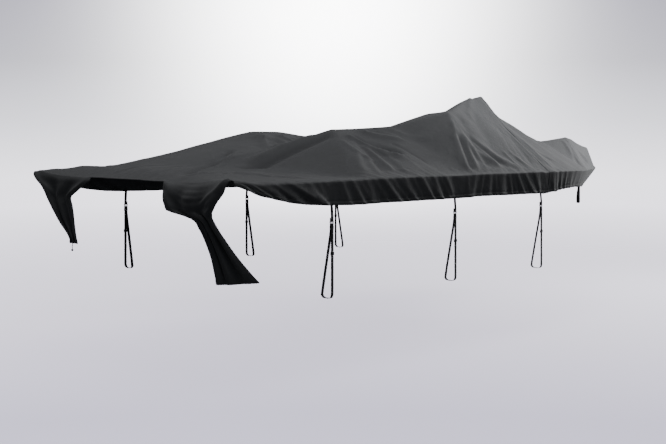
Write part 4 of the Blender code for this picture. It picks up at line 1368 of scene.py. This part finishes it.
# %% Paths of the side straps
PIECE_GAP = 0.0003
BUCKLE = {"wide": 0.034, "deep": 0.008, "tall": 0.056}
BUCKLE_TOP = -0.262
BAR = 0.004
SLOT = 0.007
STRAP_BOTTOM = -0.78
STRAP_SPREAD = 0.10
STRAP_BEND = 0.03
STRAP_TURN = 0.012
TAB_LAP = 0.020
SLIDER = {"wide": 0.032, "deep": 0.006, "tall": 0.020}
SLIDER_AT = -0.48
FACE = 0.5 * BUCKLE["deep"] + PIECE_GAP + 0.5 * WEBBING  # from a buckle's middle to the webbing on its face
TAB_INSIDE = 0.020  # how far up inside the hem a tab is sewn
TAB_FREE, TAB_CLEAR = 0.003, 0.012  # above the hem where a tab leaves the cloth, and below it where it hangs
BEHIND_CLOTH = -0.0016
HEM_MIDDLE = 0.0015
STRAP_STEPS, BEND_STEPS = 6, 5
INNER_LEG_FROM = -167  # the turn, in degrees, where the loop's inner leg leaves its bend


def hem_at(s, side):
    """Middle of the hem at a strap."""
    y = HALF_WIDTH(s) + EDGE_ROLL - TUCK(s) - HEM_MIDDLE
    return float(s), side * float(y), float(EDGE(s) - SKIRT(s))


def arc(centre, radius, start, end, steps):
    turns = np.radians(np.linspace(start, end, steps))
    return [(centre[0] + radius * math.cos(a), centre[1] + radius * math.sin(a)) for a in turns]


def strap_paths(hem):
    """Tab and loop of a strap as (outboard of the hem, height) points."""
    bottom = BUCKLE_TOP - BUCKLE["tall"]
    slot_top, slot_bottom = BUCKLE_TOP - BAR - 0.5 * SLOT, bottom + BAR + 0.5 * SLOT
    tab = [(BEHIND_CLOTH, hem + TAB_INSIDE), (BEHIND_CLOTH, hem + TAB_FREE), (0, hem - TAB_CLEAR)]
    tab += [(FACE, BUCKLE_TOP + TAB_LAP), (FACE, BUCKLE_TOP + 2 * TAB_FREE), (FACE, slot_top)]
    tab += [(-FACE, slot_top), (-FACE, BUCKLE_TOP + TAB_LAP)]
    turn, inner = STRAP_BOTTOM + STRAP_BEND, FACE - STRAP_SPREAD
    loop = [(-FACE, bottom - TAB_LAP), (-FACE, slot_bottom), (FACE, slot_bottom), (FACE, bottom - STRAP_TURN)]
    loop += [(FACE, z) for z in np.linspace(bottom - 3 * TAB_LAP, turn, STRAP_STEPS, endpoint=False)]
    loop += arc((FACE - STRAP_BEND, turn), STRAP_BEND, 0, -90, BEND_STEPS)
    loop += arc((inner + STRAP_BEND, turn), STRAP_BEND, -90, INNER_LEG_FROM, BEND_STEPS)
    behind = -FACE - WEBBING - 2 * PIECE_GAP
    loop += [(behind, bottom - TAB_LAP - WEBBING), (behind, bottom - WEBBING)]
    return tab, loop


print("straps at", STRAPS, "m from the transom, on both sides")

# %% [markdown]
# A side-release buckle is two mouldings: a fork with a bar for the webbing and two springy prongs,
# and a flat socket with windows in its sides where the prongs' shoulders catch. Its faces are plates
# with square holes, so one function builds a plate from a grid of cells and leaves some out, and a
# Bevel modifier rounds the edges that a mould would.

# %% Buckles and sliders
# Heights of a buckle's parts below its top: where its upper half ends, where its lower half starts,
# its windows, and the prongs' shoulders in them.
BUCKLE_LEVELS = {
    "head": -0.0145,
    "fork": -0.0185,
    "window": (-0.024, -0.035),
    "catch": (-0.0255, -0.0335),
}
BUCKLE_DEPTHS = {"head": 0.4, "prong": 0.25, "body": 0.5, "catch": 0.3, "foot": 0.42}  # each way, as shares
PRONGS = ((-0.0135, -0.0085), (-0.0022, 0.0022), (0.0085, 0.0135))
SHOULDER = 0.0122
WALL = 0.0035
RAIL = 0.002
FITTING_GAP = 0.0006
SLOT_CLEAR = 0.001  # room beside the webbing in a buckle's slot
SLIDER_BAR = 0.0022
MOULDED_EDGE = 0.0007


def plate(form, xs, zs, holes, front, back):
    """Adds a plate between two depths to a bmesh: a grid of cells, some of them left open."""
    corners = [[form.verts.new((x, front, z)) for z in zs] for x in xs]
    faces = []
    for i in range(len(xs) - 1):
        for k in range(len(zs) - 1):
            if (i, k) not in holes:
                quad = corners[i][k], corners[i][k + 1], corners[i + 1][k + 1], corners[i + 1][k]
                faces.append(form.faces.new(quad))
    grown = bmesh.ops.extrude_face_region(form, geom=faces)
    raised = [v for v in grown["geom"] if isinstance(v, bmesh.types.BMVert)]
    bmesh.ops.translate(form, verts=raised, vec=(0, back - front, 0))
    loose = [v for row in corners for v in row if not v.link_faces]
    bmesh.ops.delete(form, geom=loose, context="VERTS")


def buckle_form():
    """Both halves of a buckle, clipped together, its top at z = 0."""
    wide, deep, tall = BUCKLE.values()
    slot, half = 0.5 * WEBBING_WIDTH + SLOT_CLEAR, 0.5 * wide
    foot = BAR + SLOT - tall
    head, fork, window, catch = (BUCKLE_LEVELS[key] for key in ("head", "fork", "window", "catch"))
    across, body = (-half, -slot, slot, half), (-half, WALL - half, half - WALL, half)
    parts = [("head", across, (0.0, -BAR, -BAR - SLOT, head), {(1, 1)})]
    parts += [("prong", prong, (head, fork), set()) for prong in PRONGS]
    parts += [("body", body, (fork, *window, foot - RAIL), {(0, 1), (2, 1)})]
    for side in (-1, 1):
        shoulder = sorted((side * SHOULDER, side * (half - FITTING_GAP)))
        parts.append(("catch", shoulder, catch, set()))
    parts.append(("foot", across, (foot - RAIL, foot, BAR - tall, -tall), {(1, 1)}))
    form = bmesh.new()
    for part, xs, zs, holes in parts:
        out = BUCKLE_DEPTHS[part] * deep
        plate(form, xs, zs, holes, -out, out)
    return form


def slider_form():
    """A flat ring round the webbing, with a bar across its front."""
    wide, deep, tall = (0.5 * size for size in SLIDER.values())
    hole, gap = 0.5 * WEBBING_WIDTH + FITTING_GAP, 0.5 * WEBBING + FITTING_GAP
    xs, zs = (-wide, -hole, hole, wide), (tall, tall - WALL, WALL - tall, -tall)
    form = bmesh.new()
    plate(form, xs, zs, {(1, 1)}, gap, deep)
    plate(form, xs, zs, {(1, 1)}, -deep, -gap)
    plate(form, (-hole, hole), (SLIDER_BAR, -SLIDER_BAR), set(), gap, deep)
    for side in (-1, 1):
        plate(form, sorted((side * hole, side * wide)), (tall, -tall), set(), -gap, gap)
    return form


def moulding(name, form, at, cad_node):
    """A plastic fitting in its place, with a moulded edge."""
    bmesh.ops.recalc_face_normals(form, faces=form.faces)
    mesh = bpy.data.meshes.new(name)
    form.to_mesh(mesh)
    form.free()
    mesh.transform(Matrix.Translation(at))
    made = add_piece(name, mesh, plastic, cad_node)
    edge = made.modifiers.new("moulded edge", "BEVEL")
    edge.width, edge.segments, edge.limit_method = MOULDED_EDGE, 2, "ANGLE"
    return made


# %% Make the side straps
strap_count = 0
for strap, s in STRAPS.items():
    for side, side_name in ((-1, "starboard"), (1, "port")):
        name = f"strap_{side_name}_{strap}"
        x, y, hem = hem_at(s, side)
        for piece, path in zip(("tab", "loop"), strap_paths(hem)):
            run = place([(x, y + side * out, z) for out, z in path])
            across = (side, 0, 0)
            add_piece(f"{name}_webbing_{piece}", ribbon(piece, run, across), webbing, f"{name}_{piece}")
        moulding(f"{name}_side_release", buckle_form(), place((x, y, BUCKLE_TOP)), f"{name}_buckle")
        moulding(f"{name}_adjuster", slider_form(), place((x, y + side * FACE, SLIDER_AT)), f"{name}_slider")
        strap_count += 1
print(strap_count, "side straps, each a tab, a loop, a buckle and an adjuster")

# %% [markdown]
# The seventh strap is a short loop at the bow. Each tab is also sewn through the hem with a box of
# stitches, which shows on the outside of the cloth.

# %% Bow strap and tab stitches
BOW_STRAP_DROP = 0.18
BOW_STRAP_SPREAD = 0.030
BOW_STRAP_STRAIGHT = 0.05
BOW_STRAP_INSIDE = 0.015  # how far up behind the hem both ends are sewn
TAB_BOX = {"half_width": 0.010, "low": 0.004, "high": 0.019}
TAB_BOX_STEPS = 6

hem_line = skin[SHEET.rings[-1]]
tip_x, _, tip_z = hem_line[hem_line[:, 0].argmax()]
bow_x, top = tip_x - 2 * CLOTH - 0.5 * WEBBING, tip_z + BOW_STRAP_INSIDE
behind = bow_x - WEBBING - PIECE_GAP
bend = 0.5 * BOW_STRAP_SPREAD
turn = tip_z - BOW_STRAP_DROP + bend
middle = 0.5 * (tip_z - BOW_STRAP_STRAIGHT + turn)
bow_path = [(bow_x, top), (bow_x, tip_z - BOW_STRAP_STRAIGHT), (bow_x, middle)]
bow_path += arc((bow_x - bend, turn), bend, 0, -180, 7)
bow_path += [(bow_x - BOW_STRAP_SPREAD, middle), (behind, tip_z), (behind, top)]
bow_run = [(x, 0.0, z) for x, z in bow_path]
add_piece("strap_bow_webbing", ribbon("strap_bow_webbing", bow_run, (0, 1, 0)), webbing, "strap_bow")


def tab_box(s, side):
    """A box of stitches on the outside of the hem, read off the skirt's own points."""
    half_ring = len(SHEET.rings[0]) // 2
    rings = np.array(SHEET.rings)[:, :half_ring] if side > 0 else np.array(SHEET.rings)[:, half_ring:]
    column = np.abs(skin[rings[-1]][:, 0] - (s - ORIGIN_FROM_TRANSOM)).argmin()
    near = slice(max(column - 2, 0), column + 3)
    patch = skin[rings[:, near]] + THREAD_LIFT * 2 * skin_normals[rings[:, near]]
    hem = patch[-1, 2, 2]
    half, low, high = TAB_BOX.values()
    corners = [(-half, low), (half, low), (half, high), (-half, high), (-half, low), (half, high)]
    xs, ys, zs = patch[-1, :, 0], patch[..., 1].T, patch[..., 2].T
    order = np.argsort(xs)
    line = []
    for (u0, v0), (u1, v1) in zip(corners, corners[1:]):
        for share in np.linspace(0, 1, TAB_BOX_STEPS, endpoint=False):
            x, z = s - ORIGIN_FROM_TRANSOM + u0 + (u1 - u0) * share, hem + v0 + (v1 - v0) * share
            across = np.array([np.interp(z, row_z[::-1], row_y[::-1]) for row_z, row_y in zip(zs, ys)])
            line.append((x, np.interp(x, xs[order], across[order]), z))
    return np.array(line)


tab_stitches = sew("tab_stitches", [tab_box(s, side) for s in STRAPS.values() for side in (-1, 1)])
print("tab stitches:", len(tab_stitches.data.polygons), "faces")

# %% [markdown]
# ## The cord's knotted end
#
# The hem's elastic cord comes out at the corner of the port tail and ends in a knot, 38 mm below
# it. The cord is a tube swept along its path. The knot is a trefoil: the same tube swept along a
# closed curve that passes over and under itself.

# %% Cord and knot
CORD = 0.006
CORD_LENGTH = 0.038
CORD_INBOARD = 0.015
SEAM_SIDE = (0.3, 1.0, 0.2)  # where the tube's first corner is turned to
KNOT_LOOP = 0.0026  # the trefoil's scale, for a knot 20 mm across
CORD_BENDS = {
    "out": (0.0, 0.0001, 0.0005, 0.0012, 0.0022, 0.0034, 0.0046, 0.0056, 0.0063, 0.0067, 0.0070),
    "down": (0.0, 0.10, 0.20, 0.30, 0.40, 0.50, 0.60, 0.70, 0.80, 0.90, 1.0),
}


def cord_along(name, path, sides, closed, cad_node):
    """A piece of cord: a tube swept along a path, with places along and round it."""
    path = np.asarray(path)
    if closed:
        along = np.roll(path, -1, axis=0) - np.roll(path, 1, axis=0)
    else:
        along = np.gradient(path, axis=0)
    along /= np.linalg.norm(along, axis=1)[:, None]
    sides_on = [np.cross(along[0], SEAM_SIDE)]
    for tangent in along[1:]:
        sides_on.append(sides_on[-1] - tangent * sides_on[-1].dot(tangent))
    sides_on = [side / np.linalg.norm(side) for side in sides_on]
    run = distances_along(path)
    points, places = [], []
    for p, tangent, side, at in zip(path, along, sides_on, run):
        other = np.cross(tangent, side)
        for k in range(sides):
            angle = 2 * math.pi * k / sides
            points.append(p + 0.5 * CORD * (math.cos(angle) * side + math.sin(angle) * other))
            places.append((at, abs(2 * k / sides - 1) / ROUND_CORD))
    count = len(path)
    faces = []
    for k in range(count if closed else count - 1):
        a, b = k * sides, (k + 1) % count * sides
        faces += [(a + i, a + (i + 1) % sides, b + (i + 1) % sides, b + i) for i in range(sides)]
    if not closed:
        faces += [tuple(range(sides - 1, -1, -1)), tuple(range((count - 1) * sides, count * sides))]
    mesh = mesh_from(name, points, faces)
    lay_flat(mesh, places)
    form = bmesh.new()
    form.from_mesh(mesh)
    bmesh.ops.recalc_face_normals(form, faces=form.faces)
    form.to_mesh(mesh)
    form.free()
    return add_piece(name, mesh, cord_braid, cad_node)


corner = (-PORT_TAIL["aft"][-1], PORT_TAIL["outer"][-1] - CORD_INBOARD, -PORT_TAIL["drop"][-1])
on_hem = np.linalg.norm(skin - place([corner])[0], axis=1).argmin()
start = skin[on_hem] - 0.5 * CLOTH * skin_normals[on_hem] - (0.0, 0.0, PIECE_GAP)
sags = [(0.4 * out, out, -down) for out, down in zip(*CORD_BENDS.values())]
cord_path = [start + (a, b, CORD_LENGTH * c) for a, b, c in sags]
cord_length = float(distances_along(cord_path)[-1])
cord_piece = cord_along("draw_cord_end", cord_path, 12, False, "cord_end")

turns = np.linspace(0, 2 * math.pi, 72, endpoint=False)
trefoil = np.stack(
    [np.sin(turns) + 2 * np.sin(2 * turns), np.cos(turns) - 2 * np.cos(2 * turns), -np.sin(3 * turns)], axis=1
)
knot_line = trefoil[:, [2, 0, 1]] * (0.5 * CORD, KNOT_LOOP, -KNOT_LOOP)
knot_top = float(knot_line[:, 2].max()) + 0.5 * CORD
knot_path = knot_line + cord_path[-1] - (0.0, 0.0, knot_top + PIECE_GAP)
knot_piece = cord_along("draw_cord_knot", knot_path, 10, True, "cord_knot")
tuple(cord_path[0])
print("cord:", round(cord_length * 1000, 1), "mm long")

# %% [markdown]
# ## What each panel was before it was draped
#
# Laid flat, a panel is as long as its stations and as wide as its girth from hem to hem. The aft
# panel's two tails reach beyond the transom, so its cut is less than the rectangle round it.

# %% Flat sizes
HEM_TURNED = 0.03
for panel, faces in SHEET.panels.items():
    used = sorted({k for face in faces for k in face})
    low, high = flat_places[used].min(axis=0), flat_places[used].max(axis=0)
    length, width = high - low + 2 * HEM_TURNED
    print(panel, "panel: cut", round(float(width), 2), "by", round(float(length), 2), "m")
sewn_on = {"aft": [hem_stitches, seam_strip, seam_stitches, tab_stitches], "fore": []}
for panel, piece in PANELS.items():
    cut = area_of(skin, SHEET.panels[panel])
    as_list(sewn_on[panel])

# %% [markdown]
# ## Floor, light and camera
#
# A pale floor stands where the trailer's wheels would. It fades out at its rim, so that it meets
# the backdrop with no line. The light is soft and comes from above and ahead, which leaves the
# skirt dark and the facets of the top clear of each other. The camera is level with the gunwale.

# %% Floor
FLOOR_Z = -1.676
FLOOR_RADIUS = 16.0
FLOOR_COLOUR = (0.80, 0.79, 0.84, 1)
FLOOR_ALPHA = 0.5  # in the middle, so that the floor takes no more than half a shadow

floor_mesh = bpy.data.meshes.new("floor")
form = bmesh.new()
bmesh.ops.create_circle(form, cap_ends=True, segments=96, radius=FLOOR_RADIUS)
form.to_mesh(floor_mesh)
form.free()
floor = put("floor", floor_mesh)
floor.location.z = FLOOR_Z
floor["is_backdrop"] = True
floor.visible_diffuse = False
ground = Finish("pale floor", "polyester", 0.9, Base_Color=FLOOR_COLOUR)
on_floor = ground.node("ShaderNodeTexCoord", output="Object")
from_middle = ground.node("ShaderNodeVectorMath", {"operation": "LENGTH"}, {0: on_floor}, "Value")
ground.feed(Alpha=(1 - from_middle / FLOOR_RADIUS).clamp() * FLOOR_ALPHA)
floor_mesh.materials.append(ground.material)
print("floor at", FLOOR_Z, "m")

# %% Backdrop
# Its colours by the rise of the view's line, where 0.5 is level, and a glow behind the cover: how
# strong it is, how wide, and between which rises it comes in.
VIEW_AHEAD, VIEW_RIGHT = (0.697, 0.717, 0.0), (0.717, -0.697, 0.0)
BACKDROP_STRENGTH = 2.6
BACKDROP_STOPS = {
    0.26: (1.55, 1.48, 1.90),
    0.34: (2.25, 2.15, 2.55),
    0.46: (2.30, 2.25, 2.45),
    0.51: (1.45, 1.45, 1.60),
    0.56: (0.86, 0.85, 0.96),
    0.62: (0.62, 0.60, 0.74),
}
GLOW = {"strength": 9.5, "half_width": 0.128, "from": -0.10, "to": 0.12}
GLOW_COLOUR = (1, 1, 1, 1)
AMBIENT = {"Color": (0.9, 0.93, 1.0, 1), "Strength": 0.08}

scene.world = bpy.data.worlds.new("studio")
scene.world.use_nodes = True
studio = Tree(scene.world.node_tree)
direction = studio.node("ShaderNodeTexCoord", output="Generated")


def along_view(axis):
    return studio.node("ShaderNodeVectorMath", {"operation": "DOT_PRODUCT"}, {0: direction, 1: axis}, "Value")


up = studio.node("ShaderNodeSeparateXYZ", values={0: direction}, output="Z")
base = studio.node("ShaderNodeValToRGB", values={"Fac": up + 0.5})
ramp = base.socket.node.color_ramp
while len(ramp.elements) < len(BACKDROP_STOPS):
    ramp.elements.new(0.5)
for element, (at, colour) in zip(ramp.elements, BACKDROP_STOPS.items()):
    element.position, element.color = at, (*(c / BACKDROP_STRENGTH for c in colour), 1)
sideways = along_view(VIEW_RIGHT) / GLOW["half_width"]
narrowing = (sideways * sideways * -1.0).exponential()
rising = {0: up, 1: GLOW["from"], 2: GLOW["to"]}
rising = studio.node("ShaderNodeMapRange", {"interpolation_type": "SMOOTHSTEP"}, rising)
in_front = direction.maths("GREATER_THAN", along_view(VIEW_AHEAD), 0.0)
glow = narrowing * rising * GLOW["strength"] * in_front
seen = studio.node("ShaderNodeBackground", values={"Color": base, "Strength": BACKDROP_STRENGTH})
halo = studio.node("ShaderNodeBackground", values={"Color": GLOW_COLOUR, "Strength": glow})
both = studio.node("ShaderNodeAddShader", values={0: seen, 1: halo})
spread = studio.node("ShaderNodeBackground", values=AMBIENT)
camera_ray = studio.node("ShaderNodeLightPath", output="Is Camera Ray")
either = studio.node("ShaderNodeMixShader", values={0: camera_ray, 1: spread, 2: both})
studio.fill(studio.nodes["World Output"], {"Surface": either})
print("backdrop:", len(studio.nodes), "nodes")

# %% Lights
# Place, what it points at, size across and along, and power.
LIGHTS = {
    "stern": ((-2.7, -1.9, 1.9), (-2.0, -0.3, 0.0), (1.8, 1.4), 23.5),
    "stern_port": ((-2.6, 1.2, 1.8), (-2.2, 0.3, 0.0), (1.6, 1.4), 17.0),
    "screen": ((0.3, -1.4, 1.5), (0.3, -0.5, 0.3), (1.0, 0.8), 29.0),
    "bow": ((4.3, -1.3, 0.9), (2.4, -0.2, 0.0), (1.2, 1.0), 146.0),
}
for name, (at, aim, (across, along_size), power) in LIGHTS.items():
    lamp = bpy.data.lights.new(name, "AREA")
    lamp.shape, lamp.size, lamp.size_y, lamp.energy = "RECTANGLE", across, along_size, power
    light = put(name, lamp)
    light.location = at
    light.rotation_euler = (Vector(aim) - Vector(at)).to_track_quat("-Z", "Y").to_euler()
print("lights:", list(LIGHTS))

# %% Camera
EYE = (-7.325, -6.64, -0.036)
LENS = {"lens": 61.6, "sensor_width": 36.0, "shift_y": -0.138}
lens = bpy.data.cameras.new("camera")
for key, value in LENS.items():
    setattr(lens, key, value)
camera = put("camera", lens)
camera.location = EYE
camera.rotation_euler = Vector(VIEW_AHEAD).to_track_quat("-Z", "Y").to_euler()
scene.camera = camera
print("camera:", lens.lens, "mm lens")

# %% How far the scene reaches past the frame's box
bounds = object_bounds()
for box in (cad_box, bounds):
    json.dumps([[round(float(value), 5) for value in corner] for corner in box]) + "\n"
print("grown by", [round(float((b - a) - (d - c)), 4) for a, b, c, d in zip(*bounds, *cad_box)], "m")
